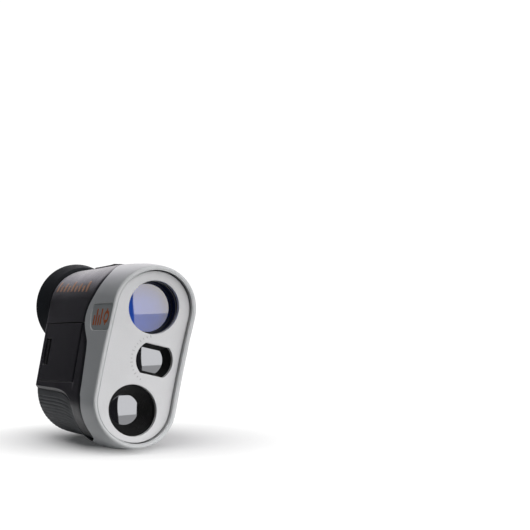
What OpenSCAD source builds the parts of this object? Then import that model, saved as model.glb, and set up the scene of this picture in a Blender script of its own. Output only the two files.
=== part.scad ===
// Compact monocular laser rangefinder, standing upright on its rounded base.
// X is the width, Y runs from the lens face (low) to the eyecup (high), Z is up.
// The origin is under the middle of the bounding box, at its bottom.
// Lengths along Y in this file are counted from the front of the rim.

/* [Overall] */
// Length from the front rim to the lip of the eyecup
total_len = 100.5; // [98:0.5:106]
// Half width of the front rim
rim_r = 18.05; // [17.8:0.05:18.2]
// Half width of the main body
body_r = 18.65; // [18.5:0.05:18.8]
// Wall thickness of the two housings
wall = 1.9; // [1.8:0.1:2]
// Height of the joint line between upper and lower housing
split_z = 49; // [48.5:0.5:49.5]

/* [Front] */
// Radius of the gentle hollow of the lens face, seen from the side
face_r = 213; // [200:1:240]
// Depth of the lens plate below the rim
plate_depth = 2.1; // [1.8:0.1:2.4]
// Thickness of the lens plate
plate_t = 2; // [1.8:0.1:2.2]
// Radius of the objective opening
obj_r = 10.9; // [10.8:0.1:11]
// Height of the objective axis
obj_z = 59.1; // [59:0.1:59.2]
// Radius of the receiver opening
rec_r = 10.45; // [10.4:0.05:10.5]
// Height of the receiver axis
rec_z = 16.4; // [16.3:0.1:16.5]
// Radius of the emitter opening
emit_r = 8.05; // [8:0.05:8.1]
// Half height between the flats of the emitter opening
emit_h = 6.2; // [6.1:0.1:6.3]
// Sideways offset of the emitter axis
emit_x = 5.25; // [5.2:0.05:5.3]
// Height of the emitter axis
emit_z = 38.2; // [38.1:0.1:38.3]

/* [Buttons] */
// Travel of the two buttons
button_travel = 0.8; // [0.6:0.1:0.8]
// Radius of the measuring button
power_r = 5; // [4.8:0.1:5.2]
// Radius of the mode button
mode_r = 3.4; // [3.2:0.1:3.6]

/* [Battery] */
// Diameter of the lithium cell
cell_d = 15.6; // [15.4:0.1:15.7]
// Length of the lithium cell
cell_len = 27; // [26.8:0.1:27]
// Radius of the door's hinge pin
pin_r = 0.6; // [0.55:0.05:0.65]
// Radial running clearance of the hinge pin
pin_gap = 0.05; // [0.03:0.01:0.08]

/* [Eyepiece] */
// Height of the eyepiece axis
eye_z = 61.2; // [61:0.1:61.4]
// Radius of the eyecup at its lip
cup_r = 19.7; // [19.5:0.1:19.8]
// Radius of the eyepiece tube
eye_tube_r = 14; // [13.8:0.1:14.2]

/* [Hidden] */
$fn = 72;

mid_z = 38.7;                 // height where the face hollow is deepest
face_sag = mid_z * mid_z / (2 * face_r) - 0.38;
slant = 6.3;                  // lean of the rear face, degrees
pin_x = -16.85;               // hinge pin axis, leaning like the rear face
pin_y = 32.95;                // its place at the height pin_z
pin_z = 36;
door_nose = 1.77;             // radius of the door's front edge about its pin
door_y0 = pin_y - door_nose;  // front edge of the battery door
door_y1 = 76.9;               // rear edge of the battery door
door_z0 = 23.6;               // lower edge of the battery door
door_z1 = 48.75;              // upper edge of the battery door
cell_x = -3.6;                // battery axis
cell_z = 35;
cell_y = 41.5;
latch_y = 72;                 // finger slot, rear end of the door
latch_z = 36.4;
top_btn_y = 50.5;             // measuring button
mode_btn_y = 62.5;            // mode button
top_flat = 76.4;              // seat of the button pad
cup_y0 = 87.6;                // front edge of the eyecup

// Moves the design so that the box is centred over the origin
module place() { translate([0, -total_len / 2, 0]) children(); }

// Outline of a slot standing upright: two arcs joined by straight sides
function slot_pts(r, zt, zb, n = 28) = concat(
  [for (i = [0:n]) [r * cos(180 * i / n), zt + r * sin(180 * i / n)]],
  [for (i = [0:n]) [r * cos(180 + 180 * i / n), zb + r * sin(180 + 180 * i / n)]]);

// Extrudes a flat XZ drawing along Y from a to b
module run(a, b) { translate([0, b, 0]) rotate([90, 0, 0]) linear_extrude(b - a) children(); }
// Extrudes a flat YZ drawing along X from a to b
module across(a, b) { translate([a, 0, 0]) rotate([90, 0, 90]) linear_extrude(b - a) children(); }
module slot_run(a, b, r, zt, zb) { run(a, b) polygon(slot_pts(r, zt, zb)); }
module slice(y, r, zt, zb) { slot_run(y, y + 0.02, r, zt, zb); }
module ybar(x, y, z, r, h) { translate([x, y, z]) rotate([-90, 0, 0]) cylinder(r = r, h = h); }
module ytube(x, y, z, ro, ri, h) {
  difference() { ybar(x, y, z, ro, h); ybar(x, y - 1, z, ri, h + 2); }
}
// Block from two corners
module blk(a, b) { translate(a) cube([b[0] - a[0], b[1] - a[1], b[2] - a[2]]); }

// Big cylinder in front of the face; its skin is the hollow face, moved back by d
module face_cyl(d) {
  translate([0, face_sag - face_r + d, mid_z]) rotate([0, 90, 0])
    cylinder(r = face_r, h = 60, center = true, $fn = 360);
}

// Skin of the whole instrument: front half swells, rear half is near straight
module skin_front() {
  hull() {
    slice(0, rim_r - 0.9, 57.9, 19.5);
    slice(1.6, rim_r, 58.1, 19.3);
    slice(8, 18.3, 58.7, 19);
    slice(18, 18.5, 59.2, 18.52);
    slice(30, 18.6, 59.4, 19.3);
    slice(44, body_r, 59.35, 21.45);
  }
}
module skin_rear() {
  hull() {
    slice(44, body_r, 59.35, 21.45);
    slice(50, body_r, 59.2, 22.05);
    slice(63, 18.6, 58.95, 22.4);
    slice(88, 18.4, 58.9, 23);
  }
}
// Half space behind the slanted rear face
module behind_rear(d = 0) {
  translate([-40, 78 + d, 0]) rotate([-slant, 0, 0]) translate([0, 0, -30]) cube([80, 60, 140]);
}

// Points of the wavy line where the light shell ends and the dark body begins
wave = [[39, 82], [38.5, 79], [37.5, 77.6], [33, 75.4], [29, 73], [26.6, 70.4], [25.9, 67.5],
  [26.2, 64.5], [27.6, 61.5], [30, 58.3], [31.9, 55.2], [32.6, 52.2], [31.9, 49.4],
  [29.6, 46.3], [26.4, 43.4], [24, 41], [22.8, 38], [22, 34], [21.1, 29], [20.3, 24.5],
  [19.2, 20], [17.8, 15.5], [16.9, 11.5], [16, 8], [15.2, 5.2], [15.4, 3.2], [18, 1.9],
  [26, 1.2], [36, 0.6], [37.5, -2]];
function cr(a, b, c, d, t) = 0.5 * ((2 * b) + (c - a) * t + (2 * a - 5 * b + 4 * c - d) * t * t
  + (3 * b - a - 3 * c + d) * t * t * t);
function wave_pts(k = 3) = [for (i = [1:len(wave) - 3]) for (j = [0:k - 1])
  cr(wave[i - 1], wave[i], wave[i + 1], wave[i + 2], j / k)];
// Region in front of the wavy line, moved by d
module ahead_wave(d = 0) {
  across(-30, 30) polygon(concat([[-10, 90], [38.7 + d, 90]], [for (p = wave_pts()) [p[0] + d, p[1]]], [[37 + d, -8], [-10, -8]]));
}

// Light grey front band with its rim and the wavy rear edge
module front_shell() color([0.47, 0.49, 0.5]) place() {
  difference() {
    intersection() {
      skin_front();
      ahead_wave(0);
    }
    face_cyl(0);
    slot_run(-5, 50, 16.2, 57.8, 19.45);
    // pockets for the two side badges
    for (s = [-1, 1]) badge_pocket(s, 0);
  }
}
module badge_shape(g) {
  polygon([[3 + g, 46.2 + g], [19.5, 46.2 + g], [22.2 - g, 47.6], [23.4 - g, 50], [24 - g, 53], [24 - g, 56], [22.6 - g, 57.6 - g], [3 + g, 57.6 - g]]);
}
module badge_pocket(s, g) {
  if (s < 0) across(-25, -17.55) badge_shape(g);
  else across(17.55, 25) badge_shape(g);
}
// Thin printed plates on the sides of the front band
module badge_plate_left() color([0.45, 0.47, 0.48]) place() across(-18.1, -17.57) badge_shape(0.15);
module badge_plate_right() color([0.45, 0.47, 0.48]) place() across(17.57, 18.1) badge_shape(0.15);

// Hollowed lens plate with three openings
module face_plate() color([0.8, 0.8, 0.81]) place() {
  difference() {
    intersection() {
      slot_run(0, 12, 15.75, 57.8, 19.45);
      face_cyl(plate_depth + plate_t);
    }
    face_cyl(plate_depth);
    ybar(0, -2, obj_z, obj_r, 20);
    ybar(0, -2, rec_z, rec_r, 20);
    intersection() {
      ybar(emit_x, -2, emit_z, emit_r, 20);
      blk([emit_x - 12, -3, emit_z - emit_h], [emit_x + 12, 19, emit_z + emit_h]);
    }
  }
}

module body_solid() {
  difference() {
    union() { intersection() { skin_front(); blk([-30, 10, -5], [30, 44.02, 90]); } skin_rear(); }
    ahead_wave(0.12);
    behind_rear();
    slot_run(0, 34, 16.3, 57.8, 19.45);
  }
}

// Columns round the four housing screws
module screw_posts(z0, z1) {
  for (p = screw_xy) translate([p[0], p[1], z0]) cylinder(r = 2.9, h = z1 - z0, $fn = 32);
  // webs that tie the columns to the walls
  for (s = [0, 1]) mirror([s, 0, 0]) {
    blk([11.4, 27, z0], [14.4, 34.6, z1]);
    blk([11.4, 34.5, z0], [17.2, 36.5, z1]);
    blk([10.5, 74, z0], [11.9, 80.2, z1]);
  }
}
// Dark upper housing with the eyepiece opening and the button seat
module upper_housing() color([0.13, 0.13, 0.14]) place() {
  difference() {
    union() {
      difference() {
        intersection() { body_solid(); blk([-30, 10, split_z + 0.25], [30, 95, 90]); }
        intersection() {
          slot_run(21, 100, 16.75, 57.9, 23.2);
          blk([-30, 20, 0], [30, 79.5, 90]);
        }
      }
      screw_posts(split_z + 0.25, 51.3);
    }
    ybar(0, 70, eye_z, eye_tube_r + 0.1, 30);
    // seat of the button pad, the two holes under it and room for their flanges
    blk([-7.5, 43, top_flat], [7.5, 68.5, 90]);
    blk([-8, 43.6, 60], [8, 68.6, 74.7]);
    translate([0, top_btn_y, 60]) cylinder(r = power_r + 0.3, h = 30);
    translate([0, mode_btn_y, 60]) cylinder(r = mode_r + 0.3, h = 30);
    tilted() translate([pin_x, pin_y, split_z - 1]) cylinder(r = pin_r, h = 2.4, $fn = 32);
    for (p = screw_xy) translate([p[0], p[1], split_z - 1]) cylinder(r = 1, h = 3, $fn = 24);
  }
}

// Dark lower housing with the side opening of the battery bay
module lower_housing() color([0.13, 0.13, 0.14]) place() {
  difference() {
    union() {
      difference() {
        intersection() { body_solid(); blk([-30, 10, -5], [30, 95, split_z - 0.25]); }
        intersection() {
          slot_run(21, 100, 16.75, 57.9, 23.2);
          blk([-30, 20, 0], [30, 76, 90]);
        }
      }
      intersection() {
        screw_posts(12, split_z - 0.25);
        blk([-17.2, 20, 0], [17.2, 79, 60]);
      }
      // back wall of the lanyard slot
      blk([13.3, latch_y - 5, latch_z - 8.2], [17.2, latch_y + 5.5, latch_z + 8.2]);
    }
    // door opening
    intersection() {
      tilted() blk([-30, door_y0 - 0.3, -20], [-15, door_y1 + 0.25, 100]);
      blk([-31, 0, door_z0 - 0.3], [-14, 100, split_z + 1]);
    }
    // lower end of the hinge pin
    tilted() translate([pin_x, pin_y, door_z0 - 1.6]) cylinder(r = pin_r, h = 5, $fn = 32);
    // eyepiece tube
    ybar(0, 70, eye_z, eye_tube_r + 0.1, 30);
    // lanyard slot on the other side
    slot_cut(14.8, 30);
    translate([17.2, latch_y, latch_z - 8]) cylinder(r = 1, h = 16, $fn = 32);
    // seat of the rubber grip
    grip_zone(0);
    // screw holes from below
    for (p = screw_xy) {
      translate([p[0], p[1], -1]) cylinder(r = 2.05, h = 39, $fn = 24);
      translate([p[0], p[1], -1]) cylinder(r = 1.05, h = 60, $fn = 24);
    }
  }
}
// Leans a part like the rear face, about the hinge pin
module tilted() translate([0, pin_y, pin_z]) rotate([-slant, 0, 0]) translate([0, -pin_y, -pin_z]) children();
// Leaning slot near the rear edge
module slot_cut(a, b) {
  translate([a, latch_y, latch_z]) rotate([-slant, 0, 0]) translate([0, -3.3, -5.9]) cube([b - a, 6.6, 11.8]);
}
screw_xy = [[-12.9, 27], [12.9, 27], [-11.2, 74], [11.2, 74]];

// Thin gasket between the housings
module housing_gasket() color([0.06, 0.06, 0.06]) place() {
  difference() {
    intersection() {
      slot_run(33.5, 78, 18.1, 57.9, 23.2);
      blk([-30, 33.5, split_z - 0.22], [30, 80, split_z + 0.22]);
    }
    slot_run(30, 76, 17.2, 57.9, 23.2);
    ybar(0, 70, eye_z, eye_tube_r + 0.2, 30);
    blk([-30, 20, 40], [-12, 41, 60]);
  }
}

// Zone covered by the rubber grip, g shrinks it
module grip_zone(g) {
  difference() {
    intersection() { low_front(0.6 - g); grip_side(g); blk([-30, 20, -6], [30, 44.01, 40]); }
    low_front(-0.7 + g);
  }
  difference() {
    intersection() { low_rear(0.6 - g); grip_side(g); blk([-30, 43.99, -6], [30, 90, 40]); }
    low_rear(-0.7 + g);
  }
}
module low_front(o) {
  hull() { slice(26, 18.57 + o, 59.4, 19.05); slice(30, 18.6 + o, 59.4, 19.6); slice(44.2, body_r + o, 59.35, 21.5); }
}
module low_rear(o) {
  hull() { slice(43.8, body_r + o, 59.35, 21.5); slice(50, body_r + o, 59.2, 22.05); slice(88, 18.4 + o, 58.9, 23); }
}
module grip_side(g) {
  across(-30, 30) polygon([[77.2 - g, 21.6 - g], [44, 20.8 - g], [38.5, 19.8 - g], [34, 17.5 - g], [30.6 + g, 14.6], [28.6 + g, 11.5], [28 + g, 8], [28 + g, 2.6], [39 + g, 1.6], [39.5 + g, -5], [77.2 - g, -5]]);
}
// Rubber grip wrapped round the lower body
module grip_overmould() color([0.22, 0.22, 0.23]) place() {
  difference() {
    grip_zone(0.05);
    for (p = screw_xy) translate([p[0], p[1], -1]) cylinder(r = 2.2, h = 60, $fn = 24);
  }
}

// Rubber pad on top, with holes for the buttons
module button_pad() color([0.05, 0.05, 0.05]) place() {
  difference() {
    intersection() {
      union() { intersection() { skin_up(0.65); blk([-7.4, 43.1, top_flat], [7.4, 68.4, 90]); } }
      translate([0, 0, top_flat]) linear_extrude(8) pad_outline();
    }
    translate([0, top_btn_y, 60]) cylinder(r = power_r + 0.3, h = 30);
    translate([0, mode_btn_y, 60]) cylinder(r = mode_r + 0.3, h = 30);
  }
}
module pad_outline() {
  polygon([for (i = [0:47]) let (a = 7.5 * i) [7.4 * sign(cos(a)) * pow(abs(cos(a)), 0.35), 55.75 + 12.65 * sign(sin(a)) * pow(abs(sin(a)), 0.35)]]);
}
module skin_up(o) {
  hull() { slice(43, body_r, 59.4 + o, 40); slice(50, body_r, 59.2 + o, 40); slice(69, 18.55, 58.95 + o, 40); }
}
// Measuring button
module power_button() color([0.09, 0.09, 0.09]) place() {
  translate([0, top_btn_y, 74.2]) cylinder(r = power_r, h = 3.7);
  translate([0, top_btn_y, 77.9]) cylinder(r1 = power_r, r2 = power_r - 0.7, h = 0.6);
  translate([0, top_btn_y, 73.2]) cylinder(r = power_r + 0.9, h = 1);
}
// Mode button
module mode_button() color([0.09, 0.09, 0.09]) place() {
  translate([0, mode_btn_y, 74.2]) cylinder(r = mode_r, h = 3.6);
  translate([0, mode_btn_y, 77.8]) cylinder(r1 = mode_r, r2 = mode_r - 0.5, h = 0.5);
  translate([0, mode_btn_y, 73.2]) cylinder(r = mode_r + 0.9, h = 1);
}
// Push switches under the buttons
module tact(y) {
  translate([-3, y - 3, 68.75]) cube([6, 6, 2.4]);
  translate([0, y, 71.15]) cylinder(r = 1.5, h = 1.1);
}
module power_switch() color([0.75, 0.75, 0.72]) place() tact(top_btn_y);
module mode_switch() color([0.75, 0.75, 0.72]) place() tact(mode_btn_y);
// Small board that carries the switches
module switch_board() color([0.05, 0.32, 0.18]) place() blk([-6.5, 43.5, 67.7], [6.5, 68.3, 68.7]);

// Battery door with its hinge knuckle, finger slot and latch window
module battery_door() color([0.14, 0.14, 0.15]) place() {
  difference() {
    union() {
      // panel with a rounded nose and knuckle about the pin
      intersection() {
        blk([-40, 0, door_z0], [0, 100, door_z1]);
        tilted() linear_extrude(80) polygon(concat(
        [for (a = [180:10:290]) [pin_x + door_nose * cos(a), pin_y + door_nose * sin(a)]],
        [for (a = [290:20:450]) [pin_x + 1.5 * cos(a), pin_y + 1.5 * sin(a)]],
        [[-16.9, pin_y + 1.9], [-16.9, door_y1], [-18.49, door_y1], [-18.6, 63], [-18.65, 50], [-18.65, 44]]));
      }
      // stiffening ribs inside
      blk([-17.3, 38, door_z0 + 1], [-16.3, 66, door_z0 + 2.2]);
      blk([-17.3, 38, door_z1 - 2.2], [-16.3, 66, door_z1 - 1]);
    }
    tilted() translate([pin_x, pin_y, 0]) cylinder(r = pin_r + pin_gap, h = 80, $fn = 32);
    // finger slot and latch window
    slot_cut(-30, -17.5);
    translate([-18, latch_y, latch_z]) rotate([-slant, 0, 0]) translate([0, -2.9, -4]) cube([3, 4.4, 8]);
  }
}
// Steel hinge pin, held in both housings
module door_hinge_pin() color([0.6, 0.6, 0.62]) place() {
  tilted() translate([pin_x, pin_y, door_z0 - 1.5]) cylinder(r = pin_r, h = split_z + 1.3 - door_z0 + 1.5, $fn = 32);
}
// Sliding latch bar in the finger slot
module door_latch() color([0.2, 0.2, 0.21]) place() {
  translate([0, latch_y, latch_z]) rotate([-slant, 0, 0]) {
    blk([-18.55, -1.3, -5.6], [-17.6, 2.3, 5.6]);
    blk([-17.6, -0.9, -3.8], [-16.8, 1.3, 3.8]);
    blk([-16.8, -1.6, -3.8], [-16.2, 1.6, 3.8]);
  }
}

// Tray for the cell
module battery_tray() color([0.1, 0.1, 0.1]) place() {
  difference() {
    blk([-13.2, cell_y - 4.6, cell_z - 9.6], [5.6, cell_y + cell_len + 1.9, cell_z + 9.6]);
    ybar(cell_x, cell_y - 3.4, cell_z, cell_d / 2 + 0.4, cell_len + 4.1);
    blk([-14, cell_y - 3.4, cell_z - cell_d / 2 - 0.4], [cell_x, cell_y + cell_len + 0.7, cell_z + cell_d / 2 + 0.4]);
  }
}
// Lithium cell with its raised pole
module battery() color([0.75, 0.65, 0.2]) place() {
  ybar(cell_x, cell_y, cell_z, cell_d / 2, cell_len - 0.8);
  ybar(cell_x, cell_y + cell_len - 0.8, cell_z, 3.3, 0.8);
}
// Coil that presses the cell
module battery_spring() color([0.8, 0.8, 0.8]) place() {
  for (i = [0:3]) translate([cell_x, cell_y - 0.45 - i * 0.8, cell_z]) rotate([90, 0, 0])
    rotate_extrude($fn = 48) translate([3 + i * 0.7, 0]) circle(r = 0.4, $fn = 16);
}
module battery_contact() color([0.8, 0.75, 0.6]) place()
  blk([cell_x - 4, cell_y + cell_len + 0.05, cell_z - 4], [cell_x + 4, cell_y + cell_len + 0.6, cell_z + 4]);

// Black barrel behind the objective opening
module objective_barrel() color([0.05, 0.05, 0.05]) place() {
  difference() {
    union() {
      ybar(0, 7.3, obj_z, 12.4, 2.7);
      ybar(0, 10, obj_z, 12, 22);
    }
    translate([0, 7, obj_z]) rotate([-90, 0, 0]) cylinder(r = 10.6, h = 9.5);
    ybar(0, 15, obj_z, 10.55, 4.2);
    ybar(0, 19, obj_z, 9.6, 20);
  }
}
module objective_ring() color([0.1, 0.1, 0.1]) place() ytube(0, 10.4, obj_z, 10.5, 9.4, 4);
// Points of one domed face: radius r, curvature R, from the axis to the rim
function dome(r, R, n = 6) = [for (i = [0:n]) let (q = r * i / n) [q, sqrt(R * R - q * q) - sqrt(R * R - r * r)]];
module lens_solid(r, t, R1, R2) {
  // axis along Y, rim thickness t, both faces domed outward
  rotate([-90, 0, 0]) rotate_extrude($fn = 96)
    polygon(concat([for (p = dome(r, R1)) [p[0], -p[1]]], [for (i = [6:-1:0]) let (p = dome(r, R2)[i]) [p[0], t + p[1]]]));
}
module objective_lens() color([0.2, 0.35, 0.75, 0.6]) place() translate([0, 15, obj_z]) lens_solid(10.45, 3.2, 42, 60);
module focus_lens() color([0.6, 0.7, 0.85, 0.6]) place() translate([0, 28, obj_z]) lens_solid(9.5, 2.6, 60, 60);

// Emitter barrel with flats
module emitter_barrel() color([0.06, 0.06, 0.06]) place() {
  difference() {
    intersection() {
      ybar(emit_x, 7.7, emit_z, 9.2, 12);
      blk([emit_x - 12, 5, emit_z - 7.4], [emit_x + 12, 30, emit_z + 7.4]);
    }
    intersection() {
      ybar(emit_x, 6, emit_z, emit_r, 8.5);
      blk([emit_x - 12, 5, emit_z - emit_h], [emit_x + 12, 14.5, emit_z + emit_h]);
    }
    ybar(emit_x, 14, emit_z, 5, 20);
  }
}
module emitter_lens() color([0.8, 0.85, 0.9, 0.6]) place()
  intersection() {
    translate([emit_x, 10.4, emit_z]) lens_solid(7.9, 2.2, 30, 80);
    blk([emit_x - 12, 5, emit_z - 6.1], [emit_x + 12, 30, emit_z + 6.1]);
  }
module laser_diode() color([0.85, 0.75, 0.4]) place() {
  ybar(emit_x, 23.2, emit_z, 2.8, 1.4);
  ybar(emit_x, 20.6, emit_z, 1.6, 2.6);
}

// Receiver barrel, a light trap that narrows to the detector
module receiver_barrel() color([0.05, 0.05, 0.05]) place() {
  difference() {
    union() {
      ybar(0, 7.3, rec_z, 11.6, 2.7);
      ybar(0, 10, rec_z, 11.1, 9);
      translate([0, 19, rec_z]) rotate([-90, 0, 0]) cylinder(r1 = 11.1, r2 = 5, h = 14);
    }
    ybar(0, 6, rec_z, 10.05, 8);
    ybar(0, 14, rec_z, 9.2, 4);
    translate([0, 17.9, rec_z]) rotate([-90, 0, 0]) cylinder(r1 = 9.2, r2 = 3.2, h = 13.2);
    ybar(0, 30, rec_z, 3.2, 5);
  }
}
module receiver_lens() color([0.8, 0.85, 0.9, 0.6]) place() translate([0, 10.5, rec_z]) lens_solid(9.95, 2.8, 32, 90);
module receiver_detector() color([0.8, 0.7, 0.4]) place() {
  ybar(0, 31.4, rec_z, 3.1, 2.2);
}
// Frame that holds the three barrels behind the lens plate
module lens_frame() color([0.12, 0.12, 0.12]) place() {
  difference() {
    slot_run(10.05, 12.5, 16.1, 57.8, 19.45);
    ybar(0, 8, obj_z, 12.05, 10);
    ybar(0, 8, rec_z, 11.15, 10);
    intersection() {
      ybar(emit_x, 8, emit_z, 9.25, 10);
      blk([emit_x - 12, 5, emit_z - 7.45], [emit_x + 12, 30, emit_z + 7.45]);
    }
  }
}
// Roof prism that sends the range display into the view
module prism_block() color([0.75, 0.85, 0.9, 0.6]) place() {
  across(-9.5, 9.5) polygon([[37, 51], [58, 51], [58, 57], [50, 66.5], [37, 66.5]]);
}
module lcd_display() color([0.1, 0.12, 0.1]) place() blk([-8, 59.2, 53.2], [8, 61, 66.4]);
// Circuit boards
module main_board() color([0.05, 0.32, 0.18]) place() {
  blk([8.4, 36.5, 23], [9.8, 70, 47.5]);
  blk([9.8, 42, 28], [12.6, 52, 38]);
  blk([9.8, 56, 30], [11.6, 62, 36]);
}
module receiver_board() color([0.05, 0.32, 0.18]) place() blk([-9, 33.7, 9.2], [9, 34.9, 24.2]);

// Fixed eyepiece tube
module eyepiece_tube() color([0.07, 0.07, 0.07]) place() {
  difference() {
    union() {
      ybar(0, 77.4, eye_z, 13.95, 10.4);
      ybar(0, 67.4, eye_z, 12.6, 10);
      ybar(0, 87.8, eye_z, 12.6, 6.6);
    }
    ybar(0, 65, eye_z, 10.6, 40);
  }
}
module field_lens() color([0.8, 0.85, 0.9, 0.6]) place() translate([0, 72, eye_z]) lens_solid(10.5, 3, 40, 60);
module eye_lens() color([0.8, 0.85, 0.9, 0.6]) place() translate([0, 88.2, eye_z]) lens_solid(10.5, 3.4, 40, 40);
// Soft ring that gives the dioptre ring its drag
module eyepiece_seal() color([0.05, 0.05, 0.05]) place()
  ytube(0, 88.3, eye_z, 13.05, 12.65, 0.9);
// Rotating dioptre ring
module diopter_ring() color([0.09, 0.09, 0.09]) place() {
  difference() {
    union() {
      ybar(0, 89.5, eye_z, 15.6, 5.6);
      ybar(0, 87.9, eye_z, 15.6, 1.6);
    }
    ybar(0, 80, eye_z, 13.2, 9.5);
    ybar(0, 80, eye_z, 12.68, 20);
  }
}
// Flared rubber eyecup on the dioptre ring
module eyecup() color([0.1, 0.1, 0.11]) place() {
  translate([0, 0, eye_z]) rotate([-90, 0, 0]) rotate_extrude($fn = 96)
    polygon([[15.65, 87.7], [17.4, 87.7], [18, 88.6], [18.6, 92], [19.3, 97], [cup_r, 99.2], [19.5, 100.2], [18.9, 100.5],
      [18.2, 100.2], [17.4, 98.6], [16.6, 96.6], [14.6, 95.9], [13.2, 95.9], [13.2, 95.15], [15.65, 95.15]]);
}
// Four screws that pull the housings together from below
module housing_screws() color([0.25, 0.25, 0.26]) place() {
  for (p = screw_xy) {
    difference() {
      translate([p[0], p[1], 36.6]) cylinder(r = 1.9, h = 1.4, $fn = 32);
      translate([p[0], p[1], 36]) cylinder(r = 0.7, h = 1.3, $fn = 6);
    }
    translate([p[0], p[1], 38]) cylinder(r = 0.95, h = 12.6, $fn = 32);
  }
}
// Steel post across the lanyard slot
module lanyard_post() color([0.7, 0.7, 0.72]) place()
  translate([17.2, latch_y, latch_z - 7.9]) cylinder(r = 0.95, h = 15.8, $fn = 32);

front_shell();
face_plate();
badge_plate_left();
badge_plate_right();
upper_housing();
lower_housing();
housing_gasket();
grip_overmould();
button_pad();
power_button();
mode_button();
power_switch();
mode_switch();
switch_board();
battery_door();
door_hinge_pin();
door_latch();
battery_tray();
battery();
battery_spring();
battery_contact();
objective_barrel();
objective_ring();
objective_lens();
focus_lens();
emitter_barrel();
emitter_lens();
laser_diode();
receiver_barrel();
receiver_lens();
receiver_detector();
lens_frame();
prism_block();
lcd_display();
main_board();
receiver_board();
eyepiece_tube();
field_lens();
eye_lens();
eyepiece_seal();
diopter_ring();
eyecup();
housing_screws();
lanyard_post();
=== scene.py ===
import math
import bpy
import bmesh
import numpy as np
from mathutils import Matrix, Vector
from mathutils.geometry import delaunay_2d_cdt


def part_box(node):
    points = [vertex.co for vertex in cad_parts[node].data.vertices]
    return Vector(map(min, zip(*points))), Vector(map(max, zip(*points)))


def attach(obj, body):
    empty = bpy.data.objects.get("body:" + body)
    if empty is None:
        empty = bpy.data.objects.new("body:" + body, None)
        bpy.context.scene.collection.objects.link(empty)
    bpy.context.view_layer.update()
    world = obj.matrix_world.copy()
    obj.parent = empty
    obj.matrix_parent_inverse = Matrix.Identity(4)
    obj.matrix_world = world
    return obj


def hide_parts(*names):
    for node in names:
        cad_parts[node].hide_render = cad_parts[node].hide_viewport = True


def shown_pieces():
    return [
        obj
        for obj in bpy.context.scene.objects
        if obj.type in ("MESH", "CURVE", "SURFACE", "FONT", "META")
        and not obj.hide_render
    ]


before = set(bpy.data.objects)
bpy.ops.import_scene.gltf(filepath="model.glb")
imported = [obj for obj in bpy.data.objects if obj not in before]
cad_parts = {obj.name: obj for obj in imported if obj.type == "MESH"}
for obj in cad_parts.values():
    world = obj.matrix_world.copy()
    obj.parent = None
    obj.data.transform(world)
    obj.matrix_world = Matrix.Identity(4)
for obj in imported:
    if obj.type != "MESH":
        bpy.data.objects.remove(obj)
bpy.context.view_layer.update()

L2 = 100.5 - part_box("eyecup")[1].y * 1000      # shifts design millimetres to the row frame
scene = bpy.context.scene
PI = math.pi

# ------------------------------------------------------------------ helpers
def put(name, verts, faces, mats, body, nodes=(), sharp=32, weld=True, fmat=None):
    v = (np.asarray(verts, float) - np.array([0, L2, 0])) / 1000.0
    me = bpy.data.meshes.new(name)
    me.from_pydata(v.tolist(), [], [list(map(int, f)) for f in faces])
    mats = mats if isinstance(mats, (list, tuple)) else [mats]
    for m in mats:
        me.materials.append(m)
    if fmat is not None:
        me.polygons.foreach_set("material_index", list(fmat))
    bm = bmesh.new()
    bm.from_mesh(me)
    if weld:
        bmesh.ops.remove_doubles(bm, verts=bm.verts, dist=2e-6)
    bmesh.ops.dissolve_degenerate(bm, edges=bm.edges, dist=1e-7)
    bmesh.ops.recalc_face_normals(bm, faces=bm.faces)
    for f in bm.faces:
        f.smooth = True
    lim = math.radians(sharp)
    for e in bm.edges:
        e.smooth = not (len(e.link_faces) == 2 and e.calc_face_angle(0) > lim)
    bm.to_mesh(me)
    bm.free()
    ob = bpy.data.objects.new(name, me)
    scene.collection.objects.link(ob)
    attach(ob, body)
    if nodes:
        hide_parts(*nodes)
    return ob


def pchip(xp, yp):
    xp, yp = np.array(xp, float), np.array(yp, float)
    h = np.diff(xp)
    d = np.diff(yp) / h
    m = np.zeros(len(xp))
    m[0], m[-1] = d[0], d[-1]
    for i in range(1, len(xp) - 1):
        if d[i - 1] * d[i] > 0:
            a, b = 2 * h[i] + h[i - 1], h[i] + 2 * h[i - 1]
            m[i] = (a + b) / (a / d[i - 1] + b / d[i])

    def f(x):
        x = np.clip(np.asarray(x, float), xp[0], xp[-1])
        i = np.clip(np.searchsorted(xp, x) - 1, 0, len(h) - 1)
        t = (x - xp[i]) / h[i]
        return ((1 + 2 * t) * (1 - t) ** 2 * yp[i] + t * (1 - t) ** 2 * h[i] * m[i]
                + t * t * (3 - 2 * t) * yp[i + 1] + t * t * (t - 1) * h[i] * m[i + 1])
    return f


def sstep(t):
    t = np.clip(t, 0, 1)
    return t * t * (3 - 2 * t)


def lathe(profile, n=128, centre=(0, 0), closed=True):
    """profile: (y, r) pairs; axis along Y through x, z = centre."""
    p = np.array(profile, float)
    a = np.linspace(0, 2 * PI, n, endpoint=False)
    v = np.stack([centre[0] + p[:, 1][:, None] * np.cos(a)[None], np.repeat(p[:, 0][:, None], n, 1),
                  centre[1] + p[:, 1][:, None] * np.sin(a)[None]], -1).reshape(-1, 3)
    f, m = [], len(p)
    for i in range(m if closed else m - 1):
        for j in range(n):
            k = (j + 1) % n
            f.append((i * n + j, i * n + k, ((i + 1) % m) * n + k, ((i + 1) % m) * n + j))
    return v, f


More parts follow.
